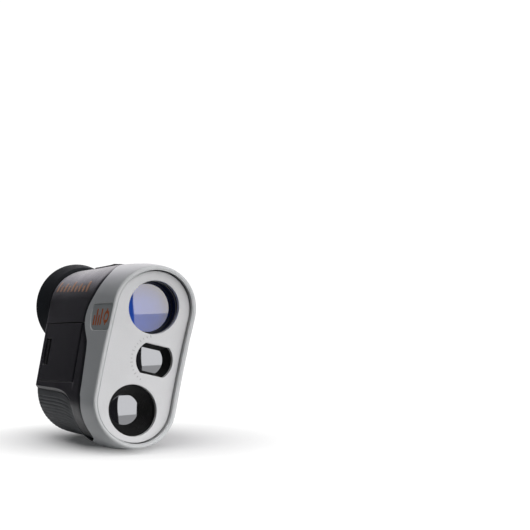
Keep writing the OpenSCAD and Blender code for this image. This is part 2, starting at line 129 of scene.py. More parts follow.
def arc(y0, r0, y1, r1, cy, cr, n=6):
    """Points of a circular arc from (y0, r0) to (y1, r1) about (cy, cr), the short way."""
    a0, a1 = math.atan2(r0 - cr, y0 - cy), math.atan2(r1 - cr, y1 - cy)
    while a1 - a0 > PI:
        a1 -= 2 * PI
    while a0 - a1 > PI:
        a1 += 2 * PI
    R0, R1 = math.hypot(y0 - cy, r0 - cr), math.hypot(y1 - cy, r1 - cr)
    return [(cy + (R0 + (R1 - R0) * i / n) * math.cos(a0 + (a1 - a0) * i / n),
             cr + (R0 + (R1 - R0) * i / n) * math.sin(a0 + (a1 - a0) * i / n)) for i in range(n + 1)]


def thick(outer, inner, mask, wrap=False, shut_end=False):
    """Closed solid from two grids (rows x cols x 3) and a mask of the cells that exist."""
    nr, nc = outer.shape[:2]
    v = np.concatenate([outer.reshape(-1, 3), inner.reshape(-1, 3)])
    off = nr * nc
    nj = nc if wrap else nc - 1
    idx = lambda i, j: i * nc + (j % nc)
    f = []
    for i in range(nr - 1):
        for j in range(nj):
            if not mask[i, j]:
                continue
            a, b, c, d = idx(i, j), idx(i, j + 1), idx(i + 1, j + 1), idx(i + 1, j)
            f.append((a, b, c, d))
            f.append((a + off, d + off, c + off, b + off))
            nb = [(i - 1, j, a, b), (i + 1, j, c, d), (i, j - 1, d, a), (i, j + 1, b, c)]
            for (ii, jj, p, q) in nb:
                if wrap:
                    jj %= nj
                out = ii < 0 or ii >= nr - 1 or jj < 0 or jj >= nj
                if shut_end and ii >= nr - 1:
                    continue
                if out or not mask[ii, jj]:
                    f.append((q, p, p + off, q + off))
    used = sorted(set(k for q in f for k in q))
    remap = {k: n for n, k in enumerate(used)}
    return v[used], [tuple(remap[k] for k in q) for q in f]


def inside(poly, p):
    x, y = p
    c = False
    n = len(poly)
    for i in range(n):
        x0, y0 = poly[i]
        x1, y1 = poly[(i + 1) % n]
        if (y0 > y) != (y1 > y) and x < (x1 - x0) * (y - y0) / (y1 - y0) + x0:
            c = not c
    return c


def offset_loop(loop, d):
    """Moves a closed 2-D loop sideways by d along its own normals."""
    p = np.array(loop, float)
    t = np.roll(p, -1, 0) - np.roll(p, 1, 0)
    t /= np.linalg.norm(t, axis=1)[:, None] + 1e-12
    n = np.stack([t[:, 1], -t[:, 0]], 1)
    area = 0.5 * np.sum(p[:, 0] * np.roll(p[:, 1], -1) - np.roll(p[:, 0], -1) * p[:, 1])
    return p + (n if area > 0 else -n) * d


def resample(loop, step):
    p = np.array(loop, float)
    q = np.vstack([p, p[:1]])
    s = np.concatenate([[0], np.cumsum(np.linalg.norm(np.diff(q, axis=0), axis=1))])
    n = max(8, int(round(s[-1] / step)))
    t = np.linspace(0, s[-1], n, endpoint=False)
    return np.stack([np.interp(t, s, q[:, 0]), np.interp(t, s, q[:, 1])], 1)


def plate(outline, holes, place, depth, fil=0.3, pitch=1.2, flare=None, wall=None):
    """Plate with rounded edges: 2-D outline and holes, place(uv, depth) gives the 3-D point.
    fil rounds the outer edge and flare the holes' edges; depth is the thickness."""
    flare = fil if flare is None else flare
    loops = [(np.array(outline), -1, fil)] + [(np.array(h), 1, flare) for h in holes]
    verts2, edges, rings = [], [], []
    for loop, s, fl in loops:
        inner = offset_loop(loop, s * fl)
        k0 = len(verts2)
        verts2 += [tuple(p) for p in inner]
        n = len(inner)
        edges += [(k0 + i, k0 + (i + 1) % n) for i in range(n)]
        rings.append((k0, n, loop, s, fl))
    o = np.array(outline)
    lo, hi = o.min(0), o.max(0)
    base = [np.array(verts2[k0:k0 + n]) for (k0, n, _, _, _) in rings]
    allb = np.vstack(base)
    outer_poly = [tuple(p) for p in base[0]]
    hole_polys = [[tuple(p) for p in b] for b in base[1:]]
    jy = 0
    y = lo[1] + pitch / 2
    while y < hi[1]:
        x = lo[0] + pitch / 2 + (pitch / 2 if jy % 2 else 0)
        while x < hi[0]:
            p = (x, y)
            if inside(outer_poly, p) and not any(inside(h, p) for h in hole_polys) \
                    and np.min(np.hypot(allb[:, 0] - x, allb[:, 1] - y)) > pitch * 0.55:
                verts2.append(p)
            x += pitch
        y += pitch * 0.866
        jy += 1
    ov, oe, of, _, _, _ = delaunay_2d_cdt([Vector(p) for p in verts2], edges, [], 0, 1e-6)
    pts = np.array([(p.x, p.y) for p in ov])
    faces2 = []
    for t in of:
        c = pts[list(t)].mean(0)
        if inside(outer_poly, c) and not any(inside(h, c) for h in hole_polys):
            faces2.append(tuple(t))
    V = [place(p, 0.0) for p in pts]
    F = list(faces2)
    nb = len(pts)
    V += [place(p, depth) for p in pts]
    F += [tuple(reversed([k + nb for k in t])) for t in faces2]
    key = {(round(p[0], 5), round(p[1], 5)): i for i, p in enumerate(pts)}
    for (k0, n, loop, s, fl) in rings:
        inner = np.array(verts2[k0:k0 + n])
        front = [key.get((round(p[0], 5), round(p[1], 5))) for p in inner]
        if any(k is None for k in front):
            d = np.hypot(pts[:, None, 0] - inner[None, :, 0], pts[:, None, 1] - inner[None, :, 1])
            front = list(np.argmin(d, 0))
        prev = front
        steps = 5
        lines = []
        for q in range(1, steps + 1):
            a = PI / 2 * q / steps
            off = fl * (1 - math.sin(a)) * s
            lines.append((offset_loop(loop, off), fl * (1 - math.cos(a))))
        lines.append((loop, depth - fl * 0.4))
        lines.append((offset_loop(loop, s * fl * 0.4), depth))
        for ln, dep in lines:
            b0 = len(V)
            V += [place(p, dep) for p in ln]
            cur = list(range(b0, b0 + n))
            for i in range(n):
                k = (i + 1) % n
                F.append((prev[i], prev[k], cur[k], cur[i]))
            prev = cur
        back = [k + nb for k in front]
        for i in range(n):
            k = (i + 1) % n
            F.append((prev[i], prev[k], back[k], back[i]))
    return np.array(V), F


# ------------------------------------------------------------------ materials
def nodes_of(name):
    m = bpy.data.materials.new(name)
    m.use_nodes = True
    nt = m.node_tree
    bsdf = nt.nodes["Principled BSDF"]
    return m, nt, bsdf


def ramp(nt, fac, stops):
    r = nt.nodes.new("ShaderNodeValToRGB")
    el = r.color_ramp.elements
    while len(el) < len(stops):
        el.new(0.5)
    for e, (p, c) in zip(el, stops):
        e.position = p
        e.color = (c[0], c[1], c[2], 1)
    nt.links.new(fac, r.inputs[0])
    return r.outputs[0]


def noise(nt, scale, detail=3, rough=0.5, coord=None, dist=0.0):
    n = nt.nodes.new("ShaderNodeTexNoise")
    n.inputs["Scale"].default_value = scale
    n.inputs["Detail"].default_value = detail
    n.inputs["Roughness"].default_value = rough
    n.inputs["Distortion"].default_value = dist
    nt.links.new(coord, n.inputs["Vector"])
    return n.outputs["Fac"]


def maprange(nt, fac, a, b, lo=0.0, hi=1.0):
    n = nt.nodes.new("ShaderNodeMapRange")
    n.inputs["From Min"].default_value = lo
    n.inputs["From Max"].default_value = hi
    n.inputs["To Min"].default_value = a
    n.inputs["To Max"].default_value = b
    nt.links.new(fac, n.inputs["Value"])
    return n.outputs["Result"]


def stuff(name, dark, light, rough=(0.4, 0.5), grain=1800, bump=0.03, blot=60, metal=0.0, spec=0.5, coat=0.0,
          coat_rough=0.1, sheen=0.0, sheen_tint=(1, 1, 1), wear=None, ior=1.5, bump_dist=0.00004, scratch=0.0):
    m, nt, b = nodes_of(name)
    tc = nt.nodes.new("ShaderNodeTexCoord").outputs["Object"]
    big = noise(nt, blot, 4, 0.6, tc)
    fine = noise(nt, grain, 3, 0.6, tc)
    mixn = nt.nodes.new("ShaderNodeMix")
    mixn.data_type = "FLOAT"
    mixn.inputs[0].default_value = 0.35
    nt.links.new(big, mixn.inputs[2])
    nt.links.new(fine, mixn.inputs[3])
    col = ramp(nt, mixn.outputs[0], [(0.35, dark), (0.65, light)])
    if wear is not None:
        geo = nt.nodes.new("ShaderNodeNewGeometry")
        w = maprange(nt, geo.outputs["Pointiness"], 0.0, 1.0, 0.53, 0.62)
        mc = nt.nodes.new("ShaderNodeMix")
        mc.data_type = "RGBA"
        nt.links.new(w, mc.inputs[0])
        nt.links.new(col, mc.inputs[6])
        mc.inputs[7].default_value = (*wear, 1)
        col = mc.outputs[2]
    nt.links.new(col, b.inputs["Base Color"])
    nt.links.new(maprange(nt, big, rough[0], rough[1], 0.3, 0.7), b.inputs["Roughness"])
    bp = nt.nodes.new("ShaderNodeBump")
    bp.inputs["Strength"].default_value = 1.0
    bp.inputs["Distance"].default_value = bump_dist * bump / 0.03
    nt.links.new(fine, bp.inputs["Height"])
    nt.links.new(bp.outputs[0], b.inputs["Normal"])
    b.inputs["Metallic"].default_value = metal
    b.inputs["Specular IOR Level"].default_value = spec
    b.inputs["IOR"].default_value = ior
    b.inputs["Coat Weight"].default_value = coat
    b.inputs["Coat Roughness"].default_value = coat_rough
    b.inputs["Sheen Weight"].default_value = sheen
    b.inputs["Sheen Roughness"].default_value = 0.5
    b.inputs["Sheen Tint"].default_value = (*sheen_tint, 1)
    return m


M = {}
M["shell"] = stuff("shell_paint", (0.505, 0.515, 0.522), (0.565, 0.575, 0.582), (0.34, 0.42), 2600, 0.02, 40, coat=0.15, coat_rough=0.25)
M["plate"] = stuff("plate_paint", (0.57, 0.57, 0.58), (0.63, 0.63, 0.64), (0.36, 0.44), 2600, 0.02, 40)
M["badge"] = stuff("badge_plate", (0.33, 0.345, 0.35), (0.38, 0.395, 0.40), (0.42, 0.5), 3000, 0.03, 90)
# dashes: the plate paint made darker, painted shade of their small relief
M["mark"] = stuff("emboss_painted_shade", (0.36, 0.36, 0.37), (0.42, 0.42, 0.43), (0.4, 0.5), 3000, 0.02, 90)
M["orange"] = stuff("orange_print", (0.42, 0.085, 0.008), (0.52, 0.12, 0.012), (0.45, 0.55), 2500, 0.02, 200)
M["copper"] = stuff("copper_print", (0.50, 0.24, 0.12), (0.66, 0.36, 0.20), (0.35, 0.5), 2500, 0.03, 300, metal=0.35)
M["body"] = stuff("soft_touch_body", (0.0085, 0.008, 0.0115), (0.0125, 0.012, 0.0165), (0.30, 0.35), 3200, 0.045, 70,
                  coat=0.2, coat_rough=0.24, spec=0.45)
M["door"] = stuff("soft_touch_door", (0.0085, 0.008, 0.0115), (0.0125, 0.012, 0.0165), (0.32, 0.37), 3200, 0.045, 70, coat=0.12, coat_rough=0.26, spec=0.45)
M["grip"] = stuff("ribbed_rubber", (0.044, 0.047, 0.051), (0.058, 0.062, 0.066), (0.50, 0.6), 2600, 0.08, 120)
M["cup"] = stuff("cup_rubber", (0.017, 0.018, 0.021), (0.023, 0.025, 0.029), (0.62, 0.7), 2400, 0.06, 90, spec=0.12)
M["pad"] = stuff("button_rubber", (0.008, 0.008, 0.009), (0.013, 0.013, 0.014), (0.45, 0.55), 2400, 0.06, 90)
M["button"] = stuff("button_caps", (0.012, 0.012, 0.013), (0.02, 0.02, 0.021), (0.3, 0.38), 2600, 0.03, 90)
M["barrel"] = stuff("barrel_black", (0.0035, 0.0035, 0.004), (0.006, 0.006, 0.0065), (0.42, 0.55), 2600, 0.05, 120, spec=0.35)
M["ring"] = stuff("ring_black", (0.010, 0.010, 0.011), (0.016, 0.016, 0.017), (0.26, 0.34), 2600, 0.03, 120)
# light grey finish for the objective barrel's front edge: painted highlight of the black chamfer catching the light
M["ringedge"] = stuff("painted_bezel_highlight", (0.16, 0.155, 0.14), (0.22, 0.215, 0.2), (0.3, 0.4), 2600, 0.03, 120)
M["seal"] = stuff("nitrile", (0.006, 0.006, 0.006), (0.01, 0.01, 0.01), (0.5, 0.6), 2600, 0.05, 120)
M["steel"] = stuff("steel", (0.5, 0.5, 0.52), (0.62, 0.62, 0.64), (0.28, 0.4), 3000, 0.03, 200, metal=1.0)
M["brass"] = stuff("brass", (0.60, 0.45, 0.16), (0.75, 0.58, 0.24), (0.25, 0.38), 3000, 0.03, 200, metal=1.0)
M["tray"] = stuff("tray_plastic", (0.02, 0.02, 0.021), (0.03, 0.03, 0.031), (0.4, 0.5), 2200, 0.05, 80)
M["cell"] = stuff("cell_sleeve", (0.42, 0.24, 0.045), (0.55, 0.33, 0.07), (0.22, 0.3), 1500, 0.02, 60, coat=0.4)
M["switch"] = stuff("switch_plastic", (0.22, 0.21, 0.19), (0.3, 0.29, 0.26), (0.4, 0.5), 2200, 0.04, 80)
M["board"] = stuff("board_mask", (0.008, 0.07, 0.03), (0.02, 0.12, 0.055), (0.3, 0.42), 1400, 0.08, 420, coat=0.3)
M["lcd"] = stuff("display_cell", (0.10, 0.12, 0.10), (0.14, 0.16, 0.13), (0.08, 0.14), 1800, 0.01, 90, coat=0.6)


def lens_mat(name, base, ior, tint, rough=0.03):
    m, nt, b = nodes_of(name)
    tc = nt.nodes.new("ShaderNodeTexCoord").outputs["Object"]
    nz = noise(nt, 70, 2, 0.5, tc)
    nt.links.new(ramp(nt, nz, [(0.3, base), (0.7, tuple(min(1, c * 1.25) for c in base))]), b.inputs["Base Color"])
    nt.links.new(maprange(nt, noise(nt, 500, 2, 0.5, tc), rough, rough + 0.03, 0.3, 0.7), b.inputs["Roughness"])
    b.inputs["IOR"].default_value = ior
    b.inputs["Specular Tint"].default_value = (*tint, 1)
    return m


M["blueglass"] = lens_mat("coated_glass_blue", (0.008, 0.055, 0.36), 2.7, (0.93, 0.88, 0.76))
M["darkglass"] = lens_mat("coated_glass_dark", (0.004, 0.004, 0.006), 3.3, (0.95, 0.96, 1.0))
M["eyeglass"] = lens_mat("coated_glass_eye", (0.006, 0.012, 0.01), 1.9, (0.8, 1.0, 0.9))

# ------------------------------------------------------------------ skin of the instrument
R_ = pchip([0, 2, 8, 18, 30, 44, 50, 63, 76, 88], [18.0, 18.12, 18.3, 18.5, 18.6, 18.65, 18.65, 18.6, 18.52, 18.4])
ZHI = pchip([0, 2, 5, 8, 13, 18, 24, 30, 38, 44, 50, 57, 63, 76, 88],
            [75.95, 76.28, 76.72, 77.05, 77.46, 77.7, 77.9, 77.98, 78.0, 77.97, 77.83, 77.63, 77.5, 77.4, 77.3])
ZLO = pchip([0, 2, 5, 8, 13, 18, 24, 29, 35, 42, 49, 56, 62, 75, 83, 88],
            [1.41, 1.15, 0.85, 0.6, 0.24, 0.06, 0.15, 0.48, 1.2, 2.1, 2.6, 2.85, 3.0, 3.5, 4.0, 4.3])
SAG_R, MID_Z = 224.0, 38.7


def face_y(z, d=0.0):
    return 3.136 - SAG_R + np.sqrt(SAG_R ** 2 - (np.asarray(z, float) - MID_Z) ** 2) + d


def rear_y(z):
    return 78 + 0.1104 * np.asarray(z, float)


def surf(kind, val, Y, d):
    """kind 0 top arc, 1 left side, 2 bottom arc, 3 right side; val is the arc angle or the height."""
    kind, val, Y, d = np.broadcast_arrays(kind, val, Y, d)
    R = R_(Y)
    r = R - d
    zt, zb = ZHI(Y) - R, ZLO(Y) + R
    x = np.where((kind == 0) | (kind == 2), r * np.cos(val), np.where(kind == 1, -r, r))
    z = np.where(kind == 0, zt + r * np.sin(val), np.where(kind == 2, zb + r * np.sin(val), val))
    return np.stack([x, Y, z], -1)


WAVE = [(39, 82), (38.5, 79), (37.5, 77.6), (33, 75.4), (29, 73), (26.6, 70.4), (25.9, 67.5), (26.2, 64.5),
        (27.6, 61.5), (30, 58.3), (31.9, 55.2), (32.6, 52.2), (31.9, 49.4), (29.6, 46.3), (26.4, 43.4), (24, 41),
        (22.8, 38), (22, 34), (21.1, 29), (20.3, 24.5), (19.2, 20), (17.8, 15.5), (16.9, 11.5), (16, 8),
        (15.2, 5.2), (15.4, 3.2), (18, 1.9), (26, 1.2), (36, 0.6), (37.5, -2)]


def crom(pts, k=10):
    p = np.array(pts, float)
    out = []
    for i in range(1, len(p) - 2):
        for j in range(k):
            t = j / k
            out.append(0.5 * (2 * p[i] + (p[i + 1] - p[i - 1]) * t + (2 * p[i - 1] - 5 * p[i] + 4 * p[i + 1] - p[i + 2]) * t * t
                              + (3 * p[i] - p[i - 1] - 3 * p[i + 1] + p[i + 2]) * t ** 3))
    out.append(p[-2])
    return np.array(out)


_w = crom(WAVE)
_w = _w[np.argsort(_w[:, 1])]
_w[:, 0] += np.interp(_w[:, 1], [0.5, 1.6, 3, 5.3, 9.4, 15.5, 21.7, 29.8, 38, 44, 48.2, 52.3, 56.3, 60.4, 64.5, 68.6, 76],
                      [2.5, 2.2, 1.0, 0.2, -0.5, -0.9, -0.8, -0.6, -0.35, -0.35, -0.6, -1.0, -1.1, -1.9, -2.1, -2.8, -3.0])


def wave_y(z):
    return np.interp(z, _w[:, 1], _w[:, 0])


def wave_on(kind, val):
    """Where a column of the skin crosses the wavy line."""
    ys = np.linspace(4, 46, 400)
    z = surf(kind, val, ys, 0.0)[..., 2]
    g = ys - wave_y(z)
    s = np.where((g[:-1] < 0) & (g[1:] >= 0))[0]
    if len(s) == 0:
        return 37.0
    i = s[0]
    return ys[i] + (ys[i + 1] - ys[i]) * (-g[i]) / (g[i + 1] - g[i] + 1e-9)


# ------------------------------------------------------------------ front shell
cols = []
NA = 96
for a in np.linspace(0, PI, NA + 1):
    cols.append((0, a))
side = list(np.linspace(57.4, 24.2, 42))
for z in side:
    cols.append((1, z))
for a in np.linspace(PI, 2 * PI, NA + 1):
    cols.append((2, a))
for z in side[::-1]:
    cols.append((3, z))
K = np.array([c[0] for c in cols])
A = np.array([c[1] for c in cols], float)
Ye = np.array([wave_on(k, a) for k, a in cols])
# soften the line where it runs under the belly
for _ in range(3):
    Ye = np.where(K == 2, (np.roll(Ye, 1) + 2 * Ye + np.roll(Ye, -1)) / 4, Ye)
z0 = surf(K, A, np.full(len(K), 1.0), 0.0)[:, 2]
Y0 = np.maximum(face_y(z0), 0.012)
rows = []
IN_R = 16.2


def row_abs(Y, r):
    return surf(K, A, Y, R_(Y) - r)


rows.append(row_abs(Y0 + 3.6, IN_R))
rows.append(row_abs(Y0 + 0.6, IN_R))
for i in range(4):
    a = PI / 2 * i / 3
    rows.append(row_abs(Y0 + 0.16 * (1 - math.sin(a)), IN_R + 0.16 * (1 - math.cos(a))))
for rr, dp in ((16.40, 0.02), (16.45, 0.20), (16.70, 0.20), (16.75, 0.02), (16.80, 0.0)):
    rows.append(row_abs(Y0 + dp, rr))
FW, FH = 0.78, 1.0
for i in range(9):
    a = PI / 2 * i / 8
    Yr = Y0 + FH * (1 - math.cos(a))
    rows.append(surf(K, A, Yr, FW * (1 - math.sin(a))))
n_front = len(rows)
ts = np.concatenate([np.linspace(0.02, 0.97, 40)])
for t in ts:
    rows.append(surf(K, A, Y0 + FH + t * (Ye - 0.34 - Y0 - FH), 0.0))
for i in range(6):
    a = PI / 2 * i / 5
    rows.append(surf(K, A, Ye - 0.34 + 0.34 * math.sin(a), 0.34 * (1 - math.cos(a))))
rows.append(surf(K, A, Ye, 1.5))
rows.append(row_abs(Ye, 16.4))
G = np.array(rows)
nr, nc = G.shape[:2]
F = []
for i in range(nr):
    for j in range(nc):
        k = (j + 1) % nc
        i2 = (i + 1) % nr
        F.append((i * nc + j, i * nc + k, i2 * nc + k, i2 * nc + j))
shell = put("front_shell_skin", G.reshape(-1, 3), F, M["shell"], "main_body", ("front_shell",), sharp=40)

# badge pockets, cut with a chamfered tool that follows the skin
BADGE = [(3.2, 45.7), (19.8, 45.7), (22.2, 46.4), (23.9, 48.2), (24.8, 50.4), (25.2, 53.0), (25.3, 54.9), (24.7, 56.2),
         (23.2, 56.8), (3.2, 56.8)]


def round_loop(pts, r, n=5):
    out = []
    P = [Vector(p) for p in pts]
    for i, p in enumerate(P):
        a, b = P[i - 1], P[(i + 1) % len(P)]
        u, w = (a - p), (b - p)
        rr = min(r, u.length * 0.45, w.length * 0.45)
        u.normalize()
        w.normalize()
        s, e = p + u * rr, p + w * rr
        for k in range(n + 1):
            t = k / n
            q = (1 - t) ** 2 * s + 2 * t * (1 - t) * p + t * t * e
            out.append((q.x, q.y))
    return out


bloop = resample(round_loop(BADGE, 1.2), 0.45)


def side_place(sign, lift=0.0):
    def f(p, dep):
        y, z = float(p[0]), float(p[1])
        return (sign * (float(R_(y)) + lift - dep), y, z)
    return f


def cutter(loop, sign, name, prof):
    """Tool for a pocket in a side: prof is (outward offset of the loop, depth below the skin) pairs."""
    V, F = [], []
    n = len(loop)
    for off, dep in prof:
        ln = offset_loop(loop, off)
        V += [(sign * (float(R_(max(p[0], 0))) - dep), p[0], p[1]) for p in ln]
    for i in range(len(prof) - 1):
        for j in range(n):
            k = (j + 1) % n
            F.append((i * n + j, i * n + k, (i + 1) * n + k, (i + 1) * n + j))
    F.append(tuple(range(n)))
    F.append(tuple(reversed(range((len(prof) - 1) * n, len(prof) * n))))
    me = bpy.data.meshes.new(name)
    v = (np.asarray(V, float) - np.array([0, L2, 0])) / 1000.0
    me.from_pydata(v.tolist(), [], F)
    bm = bmesh.new()
    bm.from_mesh(me)
    bmesh.ops.recalc_face_normals(bm, faces=bm.faces)
    bm.to_mesh(me)
    bm.free()
    ob = bpy.data.objects.new(name, me)
    scene.collection.objects.link(ob)
    return ob


def cut(target, tool, sharp=40):
    md = target.modifiers.new("cut", "BOOLEAN")
    md.operation = "DIFFERENCE"
    md.solver = "EXACT"
    md.object = tool
    bpy.context.view_layer.update()
    dg = bpy.context.evaluated_depsgraph_get()
    me = bpy.data.meshes.new_from_object(target.evaluated_get(dg))
    target.modifiers.clear()
    old = target.data
    target.data = me
    bpy.data.meshes.remove(old)
    bpy.data.objects.remove(tool)
    bm = bmesh.new()
    bm.from_mesh(me)
    for f in bm.faces:
        f.smooth = True
    lim = math.radians(sharp)
    for e in bm.edges:
        e.smooth = not (len(e.link_faces) == 2 and e.calc_face_angle(0) > lim)
    bm.to_mesh(me)
    bm.free()


for s, tag in ((-1, "left"), (1, "right")):
    tool = cutter(bloop, s, "tool", [(0.55, -0.35), (0.30, 0.0), (0.02, 0.34), (0.0, 0.62)])
    cut(shell, tool, 24)
    V, F = plate(offset_loop(bloop, -0.1), [], side_place(s, -0.36), 0.3, fil=0.12, pitch=1.3)
    put("badge_" + tag, V, F, M["badge"], "main_body", ("badge_plate_" + tag,), sharp=40)


def bar(name, y0, z0, y1, z1, w, sign, mat, slot, lift, depth=0.16, rnd=None, lean=0.0):
    """Small rounded bar of print on a side, from (y0, z0) to (y1, z1)."""
    d = Vector((y1 - y0, z1 - z0)).normalized()
    q = Vector((-d.y, d.x)) * (w / 2)
    a, b = Vector((y0, z0)), Vector((y1, z1))
    loop = [a - q, b - q, b + q, a + q]
    loop = round_loop([(p.x, p.y) for p in loop], w * 0.42 if rnd is None else rnd, 3)
    return plate(resample(loop, 0.2), [], side_place(sign, lift), depth, fil=0.05, pitch=1.0)


def join(parts):
    V, F, o = [], [], 0
    for v, f in parts:
        V.append(np.asarray(v))
        F += [tuple(k + o for k in q) for q in f]
        o += len(v)
    return np.vstack(V), F


# orange motif: a sighting ring and a range scale
for s, tag in ((-1, "left"), (1, "right")):
    bits = []
    cy, cz = 8.3, 51.2
    ro, ri = 2.7, 1.65
    a = np.linspace(0, 2 * PI, 48, endpoint=False)
    bits.append(plate(np.stack([cy + ro * np.cos(a), cz + ro * np.sin(a)], 1), [np.stack([cy + ri * np.cos(a), cz + ri * np.sin(a)], 1)],
                      side_place(s, -0.28), 0.1, fil=0.05, pitch=0.5))
    bits.append(bar("b", cy, cz - 3.5, cy, cz - 1.2, 1.0, s, None, None, -0.28, 0.1))
    bits.append(bar("b", cy, cz + 1.2, cy, cz + 3.5, 1.0, s, None, None, -0.28, 0.1))
    for i, h in enumerate((7.0, 4.4, 7.0, 4.4)):
        y = 13.4 + 2.6 * i
        bits.append(bar("b", y, cz - 3.5, y + 0.06 * h, cz - 3.5 + h, 1.3, s, None, None, -0.28, 0.1))
    V, F = join(bits)
    put("badge_print_" + tag, V, F, M["orange"], "main_body", (), sharp=50)

# ------------------------------------------------------------------ lens plate
def plate_place(p, dep):
    x, z = float(p[0]), float(p[1])
    return (x, float(face_y(z)) + 2.1 + dep, z)


def slot_loop(r, zt, zb, n=90):
    a = np.linspace(0, PI, n + 1)
    top = [(r * math.cos(t), zt + r * math.sin(t)) for t in a]
    bot = [(r * math.cos(t + PI), zb + r * math.sin(t + PI)) for t in a]
    return top + bot


def circ(cx, cz, r, n=144):
    a = np.linspace(0, 2 * PI, n, endpoint=False)
    return np.stack([cx + r * np.cos(a), cz + r * np.sin(a)], 1)


def flatcirc(cx, cz, r, h, n=160):
    a = np.linspace(0, 2 * PI, n, endpoint=False)
    t = math.asin(h / r)
    pts = []
    for s0, s1 in ((-t, t), (PI - t, PI + t)):
        for k in range(40):
            q = s0 + (s1 - s0) * k / 39
            pts.append((cx + r * math.cos(q), cz + r * math.sin(q)))
    return resample(round_loop(pts, 0.5, 2) if False else pts, 0.3)


PR = 15.93
outl = resample(slot_loop(PR, 57.95, 19.41), 0.6)
OBJ, REC, EM = (0, 59.1, 10.9), (0, 16.4, 10.45), (5.25, 38.2, 8.05, 6.2)
V, F = plate(outl, [circ(*OBJ), circ(*REC), flatcirc(*EM)], plate_place, 2.0, fil=0.22, pitch=1.5, flare=0.22)
put("lens_plate", V, F, M["plate"], "main_body", ("face_plate",), sharp=30)

# tiny raised dashes round the left of the middle opening, in the plate paint made darker: painted shade of their small
# relief
bits = []
for i in range(15):
    a = math.radians(112 + i * 9.4)
    rr = 10.1
    cx, cz = EM[0] + rr * math.cos(a), EM[1] + rr * math.sin(a) * 0.98
    L = 1.15 if i % 3 == 0 else 0.75
    d = Vector((math.cos(a), math.sin(a)))
    q = Vector((-d.y, d.x)) * 0.16
    p0, p1 = Vector((cx, cz)) - d * L / 2, Vector((cx, cz)) + d * L / 2
    lp = resample([tuple(p0 - q), tuple(p1 - q), tuple(p1 + q), tuple(p0 + q)], 0.12)
    bits.append(plate(lp, [], lambda p, dep: (p[0], float(face_y(p[1])) + 2.1 - 0.07 + dep, p[1]), 0.12, fil=0.04, pitch=1.0))
V, F = join(bits)
put("plate_dashes", V, F, M["mark"], "main_body", (), sharp=50)

# ------------------------------------------------------------------ dark body
def door_front(z):
    return 30.93 + 0.1104 * (np.asarray(z, float) - 36.0)


def door_rear(z):
    return 77.2 + 0.1104 * (np.asarray(z, float) - 36.0)


RHO = 2.9
LEDGE = np.array([(84, 21.9), (75, 21.4), (60, 21.0), (46, 20.5), (39, 19.6), (35.5, 18.7), (33, 17.6), (30.8, 16.4), (29, 14.9),
                  (27.6, 12.9), (26.8, 10.6), (26.4, 8.4), (26.3, 6.4)])


def zt_to_w(z, Y):
    R = R_(Y)
    zb = ZLO(Y) + R
    t = np.clip((zb - z) / R, -1, 1)
    return np.where(z > zb, zb - z, R * np.arcsin(t))


_lw = np.stack([LEDGE[:, 0], zt_to_w(LEDGE[:, 1], LEDGE[:, 0])], 1)
_lw = np.vstack([_lw, [(26.9, 22.0), (28.2, 26.0), (29.5, 30.0), (30, 34)]])
_ld = crom([tuple(2 * _lw[0] - _lw[1])] + [tuple(q) for q in _lw] + [tuple(2 * _lw[-1] - _lw[-2])], 6)


def ledge_dist(Y, w):
    """Signed distance behind and below the ledge line, on the unrolled skin."""
    Y, w = np.broadcast_arrays(Y, w)
    sh = Y.shape
    P = np.stack([Y.ravel(), w.ravel()], 1)
    best = np.full(len(P), 1e9)
    sign = np.zeros(len(P))
    a, b = _ld[:-1], _ld[1:]
    for i in range(len(a)):
        d = b[i] - a[i]
        L = d @ d
        t = np.clip(((P - a[i]) @ d) / L, 0, 1)
        q = a[i] + t[:, None] * d
        r = P - q
        dist = np.hypot(r[:, 0], r[:, 1])
        s = np.sign(d[0] * r[:, 1] - d[1] * r[:, 0])
        m = dist < best - 1e-9
        best[m] = dist[m]
        sign[m] = s[m]
    return (-sign * best).reshape(sh)


def grip_w(kind, val, Y):
    """Unrolled distance below the tangent of the lower arc, the same on both sides."""
    R = R_(Y)
    zb = ZLO(Y) + R
    th = np.where(val <= 1.5 * PI, val - PI, 2 * PI - val)
    return np.where(kind == 2, R * th, np.where((kind == 1) | (kind == 3), zb - val, -50.0))


def body_depth(kind, val, Y, Yedge):
    """How far the dark body's skin lies below the main skin."""
    d = 0.42 * (1 - sstep((Y - Yedge) / 2.3))
    w = grip_w(kind, val, Y)
    s = np.where(w > -6, ledge_dist(Y, np.maximum(w, -6)), -9.0)
    width = 1.9 + 7.0 * sstep((w - 9) / 11)
    m = sstep(s / width)
    d = d + 1.25 * sstep((w - 8) / 9) * (1 - sstep((Y - Yedge - 1) / 18))
    return d, s, m, w


def rear_rows(K, A, base, Yr, rho, dbase, n=7):
    out = []
    for i in range(n):
        a = PI / 2 * i / (n - 1)
        out.append((Yr - rho + rho * math.sin(a), dbase + rho * (1 - math.cos(a))))
    return out


def column_z(K, A, Y):
    return surf(K, A, Y, 0.0)[..., 2]


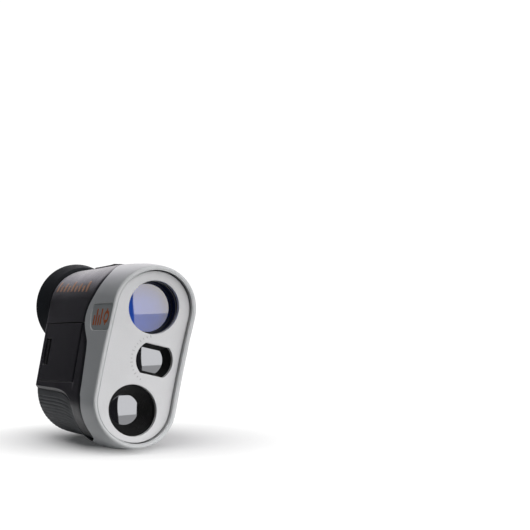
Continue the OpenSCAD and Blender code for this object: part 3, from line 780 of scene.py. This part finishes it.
def build_body(name, cols, yd_fun, nodes, mat, lower, hole=None):
    K = np.array([c[0] for c in cols])
    A = np.array([c[1] for c in cols], float)
    bev = np.array([c[2] for c in cols], float)
    Ye = np.array([wave_on(k, a) for k, a in zip(K, A)])
    if lower:
        for _ in range(3):
            Ye[1:-1] = np.where(K[1:-1] == 2, (Ye[:-2] + 2 * Ye[1:-1] + Ye[2:]) / 4, Ye[1:-1])
    zc = column_z(K, A, np.full(len(K), 40.0))
    Yd = np.maximum(door_front(zc), Ye + (0.75 if lower else 2.6))
    if lower:
        Yd = np.where((K == 1), np.maximum(door_front(zc), Ye + 0.55), np.maximum(door_front(zc), Ye + 2.6))
        # keep the rows smooth away from the opening
    zr = column_z(K, A, np.full(len(K), 82.0))
    Yr = rear_y(zr)
    Yq = np.minimum(door_rear(zr), Yr - RHO - 0.6)
    rowsY, rowsd = [], []

    def add(Y, d):
        rowsY.append(np.array(Y, float))
        rowsd.append(np.broadcast_to(np.asarray(d, float), Y.shape).copy())
    add(Ye - 1.2, 1.35)
    add(Ye - 0.1, 0.75)
    for s in (0.03, 0.12, 0.24, 0.38, 0.54, 0.72, 0.88):
        add(Ye + s * (Yd - Ye), 0.0)
    i_d0 = len(rowsY)
    add(Yd - 0.16 * np.minimum(1, (Yd - Ye)), 0.0)
    i_d = len(rowsY)
    add(Yd, 0.0)
    n2 = 96 if lower else 30
    for t in np.linspace(0, 1, n2 + 2)[1:-1]:
        add(Yd + t * (Yq - Yd), 0.0)
    i_q = len(rowsY)
    add(Yq, 0.0)
    add(Yq + 0.16, 0.0)
    for t in (0.3, 0.65):
        add(Yq + 0.16 + t * (Yr - RHO - Yq - 0.16), 0.0)
    n_skin = len(rowsY)
    nf = 9
    for i in range(nf):
        a = PI / 2 * i / (nf - 1)
        add(Yr - RHO + RHO * math.sin(a), RHO * (1 - math.cos(a)))
    for dd in (4.2, 6.5, 9.5, 13, 16.5):
        add(Yr, dd)
    add(Yr, R_(Yr))
    Ymat, dmat = np.array(rowsY), np.array(rowsd)
    # rear face lies on the slanted plane: height changes with depth, so Y follows it
    g, s, m, w = body_depth(K[None], A[None], Ymat, Ye[None])
    g[:2] = 0
    extra = np.where(np.arange(len(Ymat))[:, None] < n_skin + nf, g, 0)
    if lower:
        fade = 1 - sstep((np.arange(len(Ymat))[:, None] - n_skin - nf + 3) / 3.0)
        extra = extra + 1.12 * m * np.where(np.arange(len(Ymat))[:, None] < n_skin, 1, fade)
    extra = extra + bev[None] * (np.arange(len(Ymat))[:, None] >= 2)
    dout = dmat + extra
    if hole is not None:
        c0, c1 = hole
        chm = np.zeros_like(dout)
        chm[i_d, c0:c1 + 1] = 0.14
        chm[i_q, c0:c1 + 1] = 0.14
        chm[i_d:i_q + 1, c1] = 0.14
        dout = dout + chm
    outer = surf(K[None], A[None], Ymat, dout)
    # put the rear face exactly on the plane
    k0 = n_skin
    for i in range(k0, len(Ymat)):
        z = outer[i, :, 2]
        outer[i, :, 1] += (rear_y(z) - rear_y(zr)) * (1.0 if i >= k0 + nf - 1 else (i - k0) / (nf - 1))
    din = np.maximum(dout, 0) * 0 + 2.1
    dins = dmat + 2.1
    Yin = Ymat.copy()
    Yin[n_skin:] -= 2.1 * np.clip((np.arange(len(Ymat))[n_skin:, None] - n_skin) / (nf - 1), 0, 1)
    din_full = np.where(np.arange(len(Ymat))[:, None] >= n_skin, np.maximum(dmat, 2.1), np.maximum(2.1, dout + 0.5))
    inner = surf(K[None], A[None], Yin, din_full)
    for i in range(k0, len(Ymat)):
        z = inner[i, :, 2]
        inner[i, :, 1] += (rear_y(z) - rear_y(zr)) * (1.0 if i >= k0 + nf - 1 else (i - k0) / (nf - 1))
    mask = np.ones((len(Ymat) - 1, len(K) - 1), bool)
    if hole is not None:
        mask[i_d:i_q, c0:c1] = False
    outer[-1, :, 0] = 0.0
    inner[-1, :, 0] = 0.0
    inner[-1, :, 2] = outer[-1, :, 2]
    V, F = thick(outer, inner, mask, shut_end=True)
    ob = put(name, V, F, mat, "main_body", nodes, sharp=38)
    return ob, dict(K=K, A=A, Ye=Ye, Yd=Yd, Yq=Yq, Yr=Yr)


up_z = [49.14, 49.26, 49.7, 50.6, 52, 54, 56, 57.5]
upper_cols = [(3, z, 0.16 if i == 0 else 0) for i, z in enumerate(up_z)]
upper_cols += [(0, a, 0) for a in np.linspace(0, PI, 121)]
upper_cols += [(1, z, 0.16 if z == up_z[0] else 0) for z in up_z[::-1]]
upper, UI = build_body("upper_housing_skin", upper_cols, None, ("upper_housing", "housing_gasket"), M["body"], False)

DZ0, DZ1 = 23.30, 48.86
lz = [48.86, 48.74, 48.3, 47, 45, 42, 38, 34, 30, 27, 25, 23.9, DZ0, DZ0 - 0.16]
lower_cols = [(1, z, 0.14 if i == 0 else 0) for i, z in enumerate(lz)]
c_end = lz.index(DZ0)
lower_cols += [(2, a, 0) for a in np.linspace(PI, 2 * PI, 361)]
lower_cols += [(3, z, 0.14 if z == lz[0] else 0) for z in lz[::-1]]
lower, LI = build_body("lower_housing_skin", lower_cols, None, ("lower_housing",), M["body"], True, hole=(0, c_end))

# ribbed grip, a separate moulding inside the ledge
gth = np.linspace(0, PI, 421)
Kg = np.full(len(gth), 2)
Ag = PI + gth
Yfront = []
for a in Ag:
    ys = np.linspace(24, 84, 500)
    w = grip_w(np.full(500, 2), np.full(500, a), ys)
    s = ledge_dist(ys, w)
    tgt = 1.75
    i = np.where(s > tgt)[0]
    Yfront.append(ys[i[0]] if len(i) else 84)
Yfront = np.array(Yfront)
ok = Yfront < 74
j0, j1 = np.where(ok)[0][0], np.where(ok)[0][-1]
Kg, Ag, Yfront = Kg[j0:j1 + 1], Ag[j0:j1 + 1], Yfront[j0:j1 + 1]
Yrg = rear_y(column_z(Kg, Ag, np.full(len(Kg), 78.0))) - 1.1
rowsY = []
ts = np.concatenate([[0, 0.006, 0.014, 0.026, 0.045], np.linspace(0.07, 0.97, 60), [0.985, 1.0]])
for t in ts:
    rowsY.append(Yfront + t * (Yrg - Yfront))
Yg = np.array(rowsY)
wg = grip_w(Kg[None], Ag[None], Yg)
sg = ledge_dist(Yg, wg)
width = 1.9 + 7.0 * sstep((wg - 9) / 11)
base = 0.80 * sstep((sg + 0.4) / width)
frontfade = sstep((Yg - Yfront[None] - 1.5) / 5.0)
rib = np.abs(np.sin(PI * (wg - 3.6) / 1.62)) ** 0.55
ribd = 0.26 * (1 - rib) * frontfade * sstep((wg - 3.9) / 0.6)
edge_r = np.clip(1 - (Yg - Yfront[None]) / 0.5, 0, 1)
top_r = np.clip(1 - (wg - wg[:, :1] * 0 - np.minimum(wg[:, :1], wg[:, -1:])) / 0.4, 0, 1)
dg = base + ribd + 0.22 * edge_r ** 2
dg = dg + np.clip((np.arange(len(ts))[:, None] - (len(ts) - 5)) / 4.0, 0, 1) ** 2 * 0.9
gout = surf(Kg[None], Ag[None], Yg, dg)
gin = surf(Kg[None], Ag[None], Yg, 1.9 + 0 * dg)
V, F = thick(gout, gin, np.ones((len(Yg) - 1, len(Kg) - 1), bool))
put("grip_skin", V, F, M["grip"], "main_body", ("grip_overmould",), sharp=45)

# ------------------------------------------------------------------ battery door
PIN_Y36, NOSE = 32.95, 1.77
lat_y, lat_z, slant = 72.0, 36.4, 0.1104
zs = [DZ0 + 0.22, DZ0 + 0.34, 24.2, 25.5, 27.5, 29.4, 30.35, 30.5, 31.6, 34, 36.4, 39, 41.2, 42.3, 42.45, 43.4, 45.5, 47.4, 48.4, 48.68, 48.80]
sf0, sf1 = lat_y - 3.3, lat_y + 3.3


def ypin(z):
    return PIN_Y36 + slant * (z - 36)


U = []          # distance behind the pin, measured level
for a in np.linspace(0, 80, 9):
    U.append(-NOSE * math.cos(math.radians(a)))
U = sorted(set(np.round(U, 4)))
rel = lambda Y: Y - PIN_Y36 - 0.0
end = 77.2 - PIN_Y36 - 0.22
s0, s1 = sf0 + slant * (36 - lat_z) - PIN_Y36, sf1 + slant * (36 - lat_z) - PIN_Y36
U += [0.0] + list(np.linspace(0.8, s0 - 1.2, 26)) + [s0 - 0.14, s0, s0 + 0.8, (s0 + s1) / 2, s1 - 0.8, s1, s1 + 0.14]
U += list(np.linspace(s1 + 0.8, end - 0.3, 3)) + [end - 0.12, end]
U = np.array(U)
ZZ = np.array(zs)
Yd_ = U[:, None] + ypin(ZZ)[None]
dd = np.zeros_like(Yd_)
neg = U < 0
dd[neg] = (NOSE - np.sqrt(np.maximum(NOSE ** 2 - U[neg] ** 2, 0)))[:, None]
dd[:, 0] += 0.13
dd[:, -1] += 0.13
dd[-1] += 0.13
iu0, iu1 = int(np.argmin(abs(U - s0))), int(np.argmin(abs(U - s1)))
jz0, jz1 = zs.index(30.5), zs.index(42.3)
dd[iu0, jz0:jz1 + 1] += 0.13
dd[iu1, jz0:jz1 + 1] += 0.13
dd[iu0:iu1 + 1, jz0] += 0.13
dd[iu0:iu1 + 1, jz1] += 0.13
Kd, Ad = np.full(len(ZZ), 1), ZZ
dout = surf(Kd[None], Ad[None], Yd_, dd)
dinn = surf(Kd[None], Ad[None], Yd_, 1.72 + 0 * dd)
mask = np.ones((len(U) - 1, len(ZZ) - 1), bool)
mask[iu0:iu1, jz0:jz1] = False
V, F = thick(dout, dinn, mask)
# knuckle behind the nose
kn, kf = [], []
n = 40
zk = [DZ0 + 0.3, 48.74]
for z in zk:
    for k in range(n):
        a = 2 * PI * k / n
        kn.append((-16.85 + 1.5 * math.cos(a), ypin(z) + 1.5 * math.sin(a), z))
for k in range(n):
    k2 = (k + 1) % n
    kf.append((k, k2, n + k2, n + k))
kf.append(tuple(range(n)))
kf.append(tuple(reversed(range(n, 2 * n))))
door_bits = [(V, F), (np.array(kn), kf)]
# join the door panel and its knuckle
V, F = join(door_bits)
put("battery_door_skin", V, F, M["door"], "door_body", ("battery_door",), sharp=38)


def tilt_box(name, y0, y1, z0, z1, x0, x1, r, body, nodes, mat, grooves=0):
    """Bar with rounded edges in the slanted slot; y and z are about the slot centre."""
    loop = resample(round_loop([(y0, z0), (y1, z0), (y1, z1), (y0, z1)], r, 5), 0.35)
    t = math.atan(slant)

    def pl(p, dep):
        y, z = p
        g = 0.0
        if grooves:
            g = 0.16 * max(0.0, math.cos(2 * PI * z / 1.9)) ** 2 if abs(z) < z1 - 1.0 and y0 + 0.4 < y < y1 - 0.4 and dep < 0.01 else 0
        return (x0 + dep + g, lat_y + y * math.cos(t) + z * math.sin(t), lat_z - y * math.sin(t) + z * math.cos(t))
    V, F = plate(loop, [], pl, x1 - x0, fil=0.25, pitch=0.32)
    return put(name, V, F, mat, body, nodes, sharp=40)


tilt_box("latch_bar", -0.6, 2.2, -5.5, 5.5, -18.30, -16.9, 0.5, "latch_body", ("door_latch",), M["button"], 1)
# floor of the slot, part of the door, in the blacker barrel finish: painted shade that darkens the pocket
tilt_box("slot_floor", -3.6, 3.6, -6.2, 6.2, -16.45, -16.25, 0.4, "door_body", (), M["barrel"])

# ------------------------------------------------------------------ button pad and buttons
def pad_z(x, y):
    R = float(R_(y))
    return float(ZHI(y)) - R + math.sqrt(max(R * R - x * x, 0))


ploop = resample(round_loop([(-7.4, 43.1), (7.4, 43.1), (7.4, 68.4), (-7.4, 68.4)], 4.6, 10), 0.5)
pl = lambda p, dep: (p[0], p[1], pad_z(p[0], p[1]) + 0.62 - dep)
V, F = plate(ploop, [circ(0, 50.5, 5.3, 96), circ(0, 62.5, 3.7, 72)], pl, 1.6, fil=0.55, pitch=0.9, flare=0.25)
put("button_pad_skin", V, F, M["pad"], "main_body", ("button_pad",), sharp=40)


def button(name, cy, r, top, body, node):
    prof = []
    for i in range(9):
        q = r * 0.78 * i / 8
        prof.append((q, top - 0.32 * (1 - (q / (r * 0.78)) ** 2)))
    for i in range(1, 7):
        a = PI / 2 * i / 6
        prof.append((r * 0.78 + r * 0.22 * math.sin(a), top - r * 0.22 * (1 - math.cos(a)) * 0.75))
    prof += [(r, 74.2), (r + 0.9, 74.2), (r + 0.9, 73.2), (0.01, 73.2)]
    n = 96
    V, F = [], []
    for q, z in prof:
        for k in range(n):
            a = 2 * PI * k / n
            V.append((max(q, 0.001) * math.cos(a), cy + max(q, 0.001) * math.sin(a), z))
    for i in range(len(prof) - 1):
        for k in range(n):
            k2 = (k + 1) % n
            F.append((i * n + k, i * n + k2, (i + 1) * n + k2, (i + 1) * n + k))
    F.append(tuple(range(n)))
    F.append(tuple(reversed(range((len(prof) - 1) * n, len(prof) * n))))
    put(name, V, F, M["button"], body, (node,), sharp=45)


button("power_button_cap", 50.5, 5.0, 78.5, "power_button_body", "power_button")
button("mode_button_cap", 62.5, 3.4, 78.3, "mode_button_body", "mode_button")

# ------------------------------------------------------------------ eyecup
prof = [(87.95, 15.66), (87.72, 15.9)] + [(87.7, 16.6)] + arc(87.72, 17.0, 88.5, 17.75, 88.6, 16.95, 5) + \
    [(90, 18.0), (92, 18.35), (94.5, 18.8), (97, 19.22), (98.6, 19.5)] + \
    arc(99.3, 19.62, 100.42, 18.95, 99.25, 18.55, 8) + arc(100.45, 18.7, 99.9, 17.95, 99.75, 18.65, 5) + \
    [(99.2, 17.65), (98.0, 17.1), (97.0, 16.6), (96.3, 15.8), (95.95, 14.8), (95.9, 13.6), (95.7, 13.25), (95.2, 13.2), (95.15, 13.4), (95.15, 15.66)]
V, F = lathe(prof, 192, (0, 61.2))
put("eyecup_skin", V, F, M["cup"], "eyecup_body", ("eyecup",), sharp=38)
prof = [(87.9, 13.25), (87.9, 15.3), (88.05, 15.6)]
for k in range(7):
    y = 88.6 + k * 0.9
    prof += [(y, 15.6), (y + 0.15, 15.45), (y + 0.45, 15.45), (y + 0.6, 15.6)]
prof += [(95.0, 15.6), (95.1, 15.5), (95.1, 12.85), (94.95, 12.7), (89.5, 12.7), (89.45, 13.2)]
V, F = lathe(prof, 160, (0, 61.2))
put("diopter_ring_skin", V, F, M["ring"], "eyecup_body", ("diopter_ring",), sharp=38)


def dome_prof(y, r, Rc, t, n=14, sign=-1):
    """Convex front face at y (rim), rim radius r, radius of curvature Rc, thickness t."""
    p = []
    for i in range(n + 1):
        q = r * i / n
        p.append((y + sign * (math.sqrt(Rc * Rc - q * q) - math.sqrt(Rc * Rc - r * r)), max(q, 0.002)))
    p += [(y + 0.1, r + 0.08), (y + t - 0.1, r + 0.08), (y + t, r)]
    for i in range(n, -1, -1):
        q = r * i / n
        p.append((y + t + 0.4 * (1 - (q / r) ** 2), max(q, 0.002)))
    return p


# ------------------------------------------------------------------ optics seen from the front
# objective
def stepped(y0, y1, r, n, amp):
    out = []
    for i in range(n):
        a, b = y0 + (y1 - y0) * i / n, y0 + (y1 - y0) * (i + 1) / n
        out += [(a + 0.02, r), (a + (b - a) * 0.55, r - amp), (b - 0.02, r - amp * 0.2)]
    return out


prof = [(7.3, 12.3), (7.3, 10.95), (7.42, 10.75), (7.7, 10.62)] + stepped(7.8, 10.3, 10.6, 4, 0.12) + \
    [(10.4, 10.55), (19, 10.55), (19, 9.6), (32, 9.6), (32, 12), (10, 12), (10, 12.3)]
V, F = lathe(prof, 160, (0, OBJ[1]))
put("objective_barrel_skin", V, F, M["barrel"], "main_body", ("objective_barrel",), sharp=30)
# light grey ring on the barrel's front chamfer: painted highlight
V, F = lathe([(7.28, 11.15), (7.22, 11.05), (7.26, 10.9), (7.36, 10.78), (7.5, 10.78), (7.5, 11.15)], 160, (0, OBJ[1]))
put("objective_bezel_painted_highlight", V, F, M["ringedge"], "main_body", (), sharp=60)
prof = [(10.4, 10.5), (10.4, 10.25), (10.46, 10.15), (10.75, 9.98), (11.2, 9.95), (11.3, 10.05), (11.45, 10.05), (11.55, 9.92),
        (12.9, 9.88), (13.0, 9.95), (13.0, 10.5)]
V, F = lathe(prof, 160, (0, OBJ[1]))
put("objective_ring_skin", V, F, M["ring"], "main_body", ("objective_ring",), sharp=30)
V, F = lathe(dome_prof(12.6, 10.4, 66, 3.4, sign=1), 160, (0, OBJ[1]), closed=False)
put("objective_glass", V, F, M["blueglass"], "main_body", ("objective_lens",), sharp=40)

# emitter: funnel with flats
def fc(r, h, n=48):
    t = math.asin(min(0.999, h / r))
    pts = []
    for s0_, s1_ in ((-t, t), (PI - t, PI + t)):
        for k in range(n):
            q = s0_ + (s1_ - s0_) * k / (n - 1)
            pts.append((r * math.cos(q), r * math.sin(q)))
    return pts


def flat_loft(sections, n=48, centre=(0, 0)):
    V, F = [], []
    m = 2 * n
    for (y, r, h) in sections:
        V += [(centre[0] + p[0], y, centre[1] + p[1]) for p in fc(r, h, n)]
    k = len(sections)
    for i in range(k):
        for j in range(m):
            j2 = (j + 1) % m
            F.append((i * m + j, i * m + j2, ((i + 1) % k) * m + j2, ((i + 1) % k) * m + j))
    return V, F


EC = (EM[0], EM[1])
secs = [(7.7, 9.1, 7.3), (7.7, 8.15, 6.3), (7.85, 8.0, 6.15)]
for i in range(5):
    t = i / 5
    y = 7.95 + 3.6 * t
    r, h = 7.95 - 1.6 * t, 6.1 - 1.25 * t
    secs += [(y, r, h), (y + 0.45, r - 0.06, h - 0.05), (y + 0.5, r - 0.22, h - 0.2)]
secs += [(11.7, 6.3, 4.8), (12.0, 6.25, 4.75), (19, 6.25, 4.75), (19, 9.1, 7.3)]
V, F = flat_loft(secs, 48, EC)
put("emitter_barrel_skin", V, F, M["barrel"], "main_body", ("emitter_barrel",), sharp=28)
V, F = lathe(dome_prof(12.1, 7.0, 34, 2.2, sign=1), 128, EC, closed=False)
V = np.array(V)
V[:, 2] = np.clip(V[:, 2], EM[1] - 5.3, EM[1] + 5.3)
put("emitter_glass", V, F, M["darkglass"], "main_body", ("emitter_lens",), sharp=60)

# receiver: tapered light trap
prof = [(7.3, 11.5), (7.3, 10.4), (7.45, 10.2), (7.6, 10.05)]
for i in range(9):
    t = i / 9
    y, r = 7.7 + 6.0 * t, 10.0 - 3.7 * t
    prof += [(y, r), (y + 0.5, r - 0.08), (y + 0.54, r - 0.30)]
prof += [(13.9, 6.3), (14.2, 6.25), (18.8, 6.25), (18.8, 11.0), (10, 11.1), (10, 11.5)]
V, F = lathe(prof, 160, (0, REC[1]))
put("receiver_barrel_skin", V, F, M["barrel"], "main_body", ("receiver_barrel",), sharp=28)
V, F = lathe(dome_prof(14.0, 6.9, 26, 2.8, sign=1), 128, (0, REC[1]), closed=False)
put("receiver_glass", V, F, M["darkglass"], "main_body", ("receiver_lens",), sharp=40)

# eyepiece
prof = [(77.4, 10.6), (77.4, 13.95), (87.7, 13.95), (87.8, 13.85), (87.8, 12.7), (87.9, 12.6), (94.2, 12.6), (94.4, 12.4),
        (94.4, 11.3), (94.0, 10.9), (93.2, 10.7)] + stepped(93.1, 91.9, 10.62, 3, 0.08)[::1] + [(91.8, 10.6)]
V, F = lathe(prof, 160, (0, 61.2))
put("eyepiece_tube_skin", V, F, M["ring"], "main_body", ("eyepiece_tube",), sharp=30)
p = [(91.6 + 1.35 - 1.35 * (q / 10.5) ** 2, max(q, 0.002)) for q in np.linspace(0, 10.5, 14)]
p += [(91.5, 10.55), (88.3, 10.55), (88.2, 10.5)] + [(88.2 - 0.8 + 0.8 * (q / 10.5) ** 2, max(q, 0.002)) for q in np.linspace(10.4, 0, 12)]
V, F = lathe(p, 128, (0, 61.2), closed=False)
put("eye_glass", V, F, M["eyeglass"], "main_body", ("eye_lens",), sharp=40)

# ------------------------------------------------------------------ copper scale on the body's side
bits = []
tops = [(36.6, 67.0), (79.8, 68.0)]
n = 9
for i in range(n):
    y = 37.6 + i * 5.0
    t = i / (n - 1)
    zlo, zhi = 62.3 + 1.1 * t, 67.4 + 1.0 * t
    h = (1.0, 0.58, 0.8, 0.58)[i % 4]
    bits.append(bar("c", y, zlo, y + 1.3 * h, zlo + (zhi - zlo) * h, 2.3, -1, None, None, 0.0, 0.1))


def wrap_left(V):
    """Lays flat side print on the rounded shoulder."""
    out = []
    for x, y, z in V:
        R = float(R_(y))
        zt = float(ZHI(y)) - R
        lift = -x - R
        if z > zt:
            a = min((z - zt) / R, 1.2)
            xx, zz = -(R + lift) * math.cos(math.asin(min(a, 0.98))), zt + (R + lift) * min(a, 0.98)
            out.append((xx, y, zz))
        else:
            out.append((x, y, z))
    return np.array(out)


V, F = join(bits)
V = wrap_left(V)
for sgn, tag in ((1, "left"), (-1, "right")):
    W = V.copy()
    W[:, 0] *= sgn
    W2 = W.copy()
    W2[:, 0] += -0.05 * sgn
    put("body_scale_" + tag, W2, F, M["copper"], "main_body", (), sharp=50)

# ------------------------------------------------------------------ finish of the carried-over CAD nodes
CAD = {"door_hinge_pin": "steel", "battery_tray": "tray", "battery": "cell", "battery_spring": "steel", "battery_contact": "brass",
       "power_switch": "switch", "mode_switch": "switch", "switch_board": "board", "main_board": "board", "receiver_board": "board",
       "laser_diode": "brass", "receiver_detector": "brass", "lens_frame": "barrel", "prism_block": "eyeglass", "lcd_display": "lcd",
       "focus_lens": "eyeglass", "field_lens": "eyeglass", "eyepiece_seal": "seal", "housing_screws": "steel", "lanyard_post": "steel",
       "housing_gasket": "seal"}
for node, mname in CAD.items():
    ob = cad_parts[node]
    ob.data.materials.clear()
    ob.data.materials.append(M[mname])

# ------------------------------------------------------------------ camera
Rm = Matrix(((0.8772415794866917, -0.43944965799735153, 0.19321286009400424),
             (0.23547709586533244, 0.04318138211163036, -0.9709201334619436),
             (0.4183273222519938, 0.8972287146123558, 0.1413608330922549)))
cam = bpy.data.objects.new("camera", bpy.data.cameras.new("camera"))
scene.collection.objects.link(cam)
rt, up, fw = Vector(Rm[0]), -Vector(Rm[1]), Vector(Rm[2])
m = Matrix((rt, up, -fw)).transposed().to_4x4()
m.translation = Vector((-0.237338, -0.602547 + 0.00085 - L2 / 1000, -0.008310 + 0.0007))
cam.matrix_world = m
cam.data.sensor_width = 36
cam.data.lens = 1600 * 36 / 530
cam.data.clip_start = 0.01
cam.data.clip_end = 20
scene.camera = cam

# ------------------------------------------------------------------ floor, lights, world
PAPER_AZ = 33.0
n_up = Vector((-0.2350, -0.0640, 0.9700)).normalized()
low = 1e9
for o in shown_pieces():
    if o.name in ("front_shell_skin", "lower_housing_skin", "grip_skin"):
        co = np.zeros(len(o.data.vertices) * 3)
        o.data.vertices.foreach_get("co", co)
        low = min(low, float((co.reshape(-1, 3) @ np.array(n_up)).min()))
fx = (fw - n_up * fw.dot(n_up)).normalized()
rx = fx.cross(n_up).normalized()
base_pt = n_up * (low - 0.00005) + fx * 0.0 + rx * 0.0
bm = bmesh.new()
N = 48
vs = [[None] * (N + 1) for _ in range(N + 1)]
for i in range(N + 1):
    for j in range(N + 1):
        vs[i][j] = bm.verts.new(base_pt + fx * ((i / N - 0.5) * 3.0) + rx * ((j / N - 0.5) * 3.0))
for i in range(N):
    for j in range(N):
        bm.faces.new((vs[i][j], vs[i][j + 1], vs[i + 1][j + 1], vs[i + 1][j]))
me = bpy.data.meshes.new("floor")
bm.to_mesh(me)
bm.free()
floor = bpy.data.objects.new("floor", me)
scene.collection.objects.link(floor)
fm = bpy.data.materials.new("floor_paper")
fm.use_nodes = True
nt = fm.node_tree
b = nt.nodes["Principled BSDF"]
b.inputs["Roughness"].default_value = 0.9
b.inputs["Specular IOR Level"].default_value = 0.0
tc = nt.nodes.new("ShaderNodeTexCoord").outputs["Object"]
nt.links.new(ramp(nt, noise(nt, 30, 2, 0.5, tc), [(0.3, (0.90, 0.90, 0.90)), (0.7, (0.92, 0.92, 0.92))]), b.inputs["Base Color"])
emi = nt.nodes.new("ShaderNodeEmission")
emi.inputs["Strength"].default_value = 1.08
trn = nt.nodes.new("ShaderNodeBsdfTransparent")


def along(v, origin):
    d = nt.nodes.new("ShaderNodeVectorMath")
    d.operation = "DOT_PRODUCT"
    nt.links.new(tc, d.inputs[0])
    d.inputs[1].default_value = tuple(v)
    return d.outputs["Value"], origin.dot(v)


def mixer(f, p, q):
    mx = nt.nodes.new("ShaderNodeMixShader")
    nt.links.new(f, mx.inputs[0])
    nt.links.new(p, mx.inputs[1])
    nt.links.new(q, mx.inputs[2])
    return mx.outputs[0]


vm = nt.nodes.new("ShaderNodeVectorMath")
vm.operation = "DISTANCE"
nt.links.new(tc, vm.inputs[0])
vm.inputs[1].default_value = tuple(base_pt + fx * 0.006 + rx * 0.018)
far = maprange(nt, vm.outputs["Value"], 0.03, 1.0, 0.024, 0.076)
lpf = nt.nodes.new("ShaderNodeLightPath")
geo = nt.nodes.new("ShaderNodeNewGeometry")
# the sheet seen by the lenses: it ends 0.26 m out and to the front left, where a near-black patch seen only in
# reflections stands in as painted shade
edge_v = (rx * math.cos(math.radians(PAPER_AZ)) + fx * math.sin(math.radians(PAPER_AZ))).normalized()
val, o0 = along(edge_v, base_pt)
left_cut = maprange(nt, val, 1.0, 0.0, o0 - 0.012, o0 + 0.004)
val2, o2 = along(-fx, base_pt)
front_on = maprange(nt, val2, 0.0, 1.0, o2 + 0.045, o2 + 0.075)
lens_shade_mask = nt.nodes.new("ShaderNodeMath")
lens_shade_mask.operation = "MULTIPLY"
nt.links.new(left_cut, lens_shade_mask.inputs[0])
nt.links.new(front_on, lens_shade_mask.inputs[1])
# near-black patch of the sheet, seen only by reflections: painted shade in the lenses
lens_shade_patch = nt.nodes.new("ShaderNodeBsdfDiffuse")
lens_shade_patch.inputs["Color"].default_value = (0.03, 0.03, 0.03, 1)
rim_out = maprange(nt, vm.outputs["Value"], 0.0, 1.0, 0.15, 0.18)
front_end = maprange(nt, val2, 0.0, 1.0, o2 + 0.055, o2 + 0.062)
either = nt.nodes.new("ShaderNodeMath")
either.operation = "MAXIMUM"
nt.links.new(rim_out, either.inputs[0])
nt.links.new(front_end, either.inputs[1])
paper = mixer(either.outputs[0], mixer(lens_shade_mask.outputs[0], b.outputs[0], lens_shade_patch.outputs[0]), trn.outputs[0])
seen = mixer(far, b.outputs[0], emi.outputs[0])
final = mixer(geo.outputs["Backfacing"], mixer(lpf.outputs["Is Camera Ray"], paper, seen), trn.outputs[0])
nt.links.new(final, nt.nodes["Material Output"].inputs["Surface"])
me.materials.append(fm)
# face the floor's normals up
me.update()
if me.polygons[0].normal.dot(n_up) < 0:
    me.flip_normals()

target = Vector((0, 0, 0.039))


def softbox(name, az, el, dist, w, h, power, colour=(1, 1, 1), spread=180, glossy=True, roll=0):
    """az is measured from behind the camera to its right, el above the floor plane."""
    a, e = math.radians(az), math.radians(el)
    d = (-fx * math.cos(a) + rx * math.sin(a)) * math.cos(e) + n_up * math.sin(e)
    li = bpy.data.lights.new(name, "AREA")
    li.shape = "RECTANGLE"
    li.size, li.size_y = w, h
    li.energy = power
    li.color = colour
    li.spread = math.radians(spread)
    ob = bpy.data.objects.new(name, li)
    scene.collection.objects.link(ob)
    z = d
    x = n_up.cross(z)
    x = x.normalized() if x.length > 1e-4 else rx
    y = z.cross(x).normalized()
    cr, sr = math.cos(math.radians(roll)), math.sin(math.radians(roll))
    x, y = x * cr + y * sr, y * cr - x * sr
    mm = Matrix((x, y, z)).transposed().to_4x4()
    mm.translation = target + d * dist
    ob.matrix_world = mm
    ob.visible_camera = False
    ob.visible_glossy = glossy
    return ob


softbox("front_box", 66, 20, 0.95, 1.3, 1.0, 7.3, glossy=False)
softbox("lens_low", 39.5, -7, 1.0, 0.61, 0.57, 2.1)
softbox("lens_high", 39.5, 25.5, 1.0, 0.61, 0.60, 1.0)
softbox("top_box", 10, 80, 0.85, 0.8, 0.8, 3.1)
softbox("front_fill", 14, 26, 1.1, 0.5, 0.5, 1.5, glossy=False)
softbox("left_fill", -80, 18, 1.2, 0.7, 0.9, 0.95, colour=(0.82, 0.93, 1.0), glossy=False)

w = bpy.data.worlds.new("studio")
scene.world = w
w.use_nodes = True
nt = w.node_tree
for nd in list(nt.nodes):
    nt.nodes.remove(nd)
out = nt.nodes.new("ShaderNodeOutputWorld")
lp = nt.nodes.new("ShaderNodeLightPath")
bg1, bg2, mxw = nt.nodes.new("ShaderNodeBackground"), nt.nodes.new("ShaderNodeBackground"), nt.nodes.new("ShaderNodeMixShader")
bg1.inputs["Color"].default_value = (1, 1, 1, 1)
bg1.inputs["Strength"].default_value = 1.05
tcw = nt.nodes.new("ShaderNodeTexCoord").outputs["Generated"]
dot = nt.nodes.new("ShaderNodeVectorMath")
dot.operation = "DOT_PRODUCT"
nt.links.new(tcw, dot.inputs[0])
dv = (fx * 0.97 + n_up * 0.24).normalized()
dot.inputs[1].default_value = tuple(dv)
nt.links.new(ramp(nt, maprange(nt, dot.outputs["Value"], 0, 1, -1, 1),
                  [(0.0, (0.015, 0.015, 0.015)), (0.91, (0.02, 0.02, 0.022)), (0.965, (0.9, 0.86, 0.95)), (0.985, (1.0, 0.97, 1.0))]),
             bg2.inputs["Color"])
bg2.inputs["Strength"].default_value = 1.5
nt.links.new(lp.outputs["Is Camera Ray"], mxw.inputs[0])
nt.links.new(bg2.outputs[0], mxw.inputs[1])
nt.links.new(bg1.outputs[0], mxw.inputs[2])
nt.links.new(mxw.outputs[0], out.inputs["Surface"])

scene.view_settings.view_transform = "Standard"
scene.view_settings.look = "None"
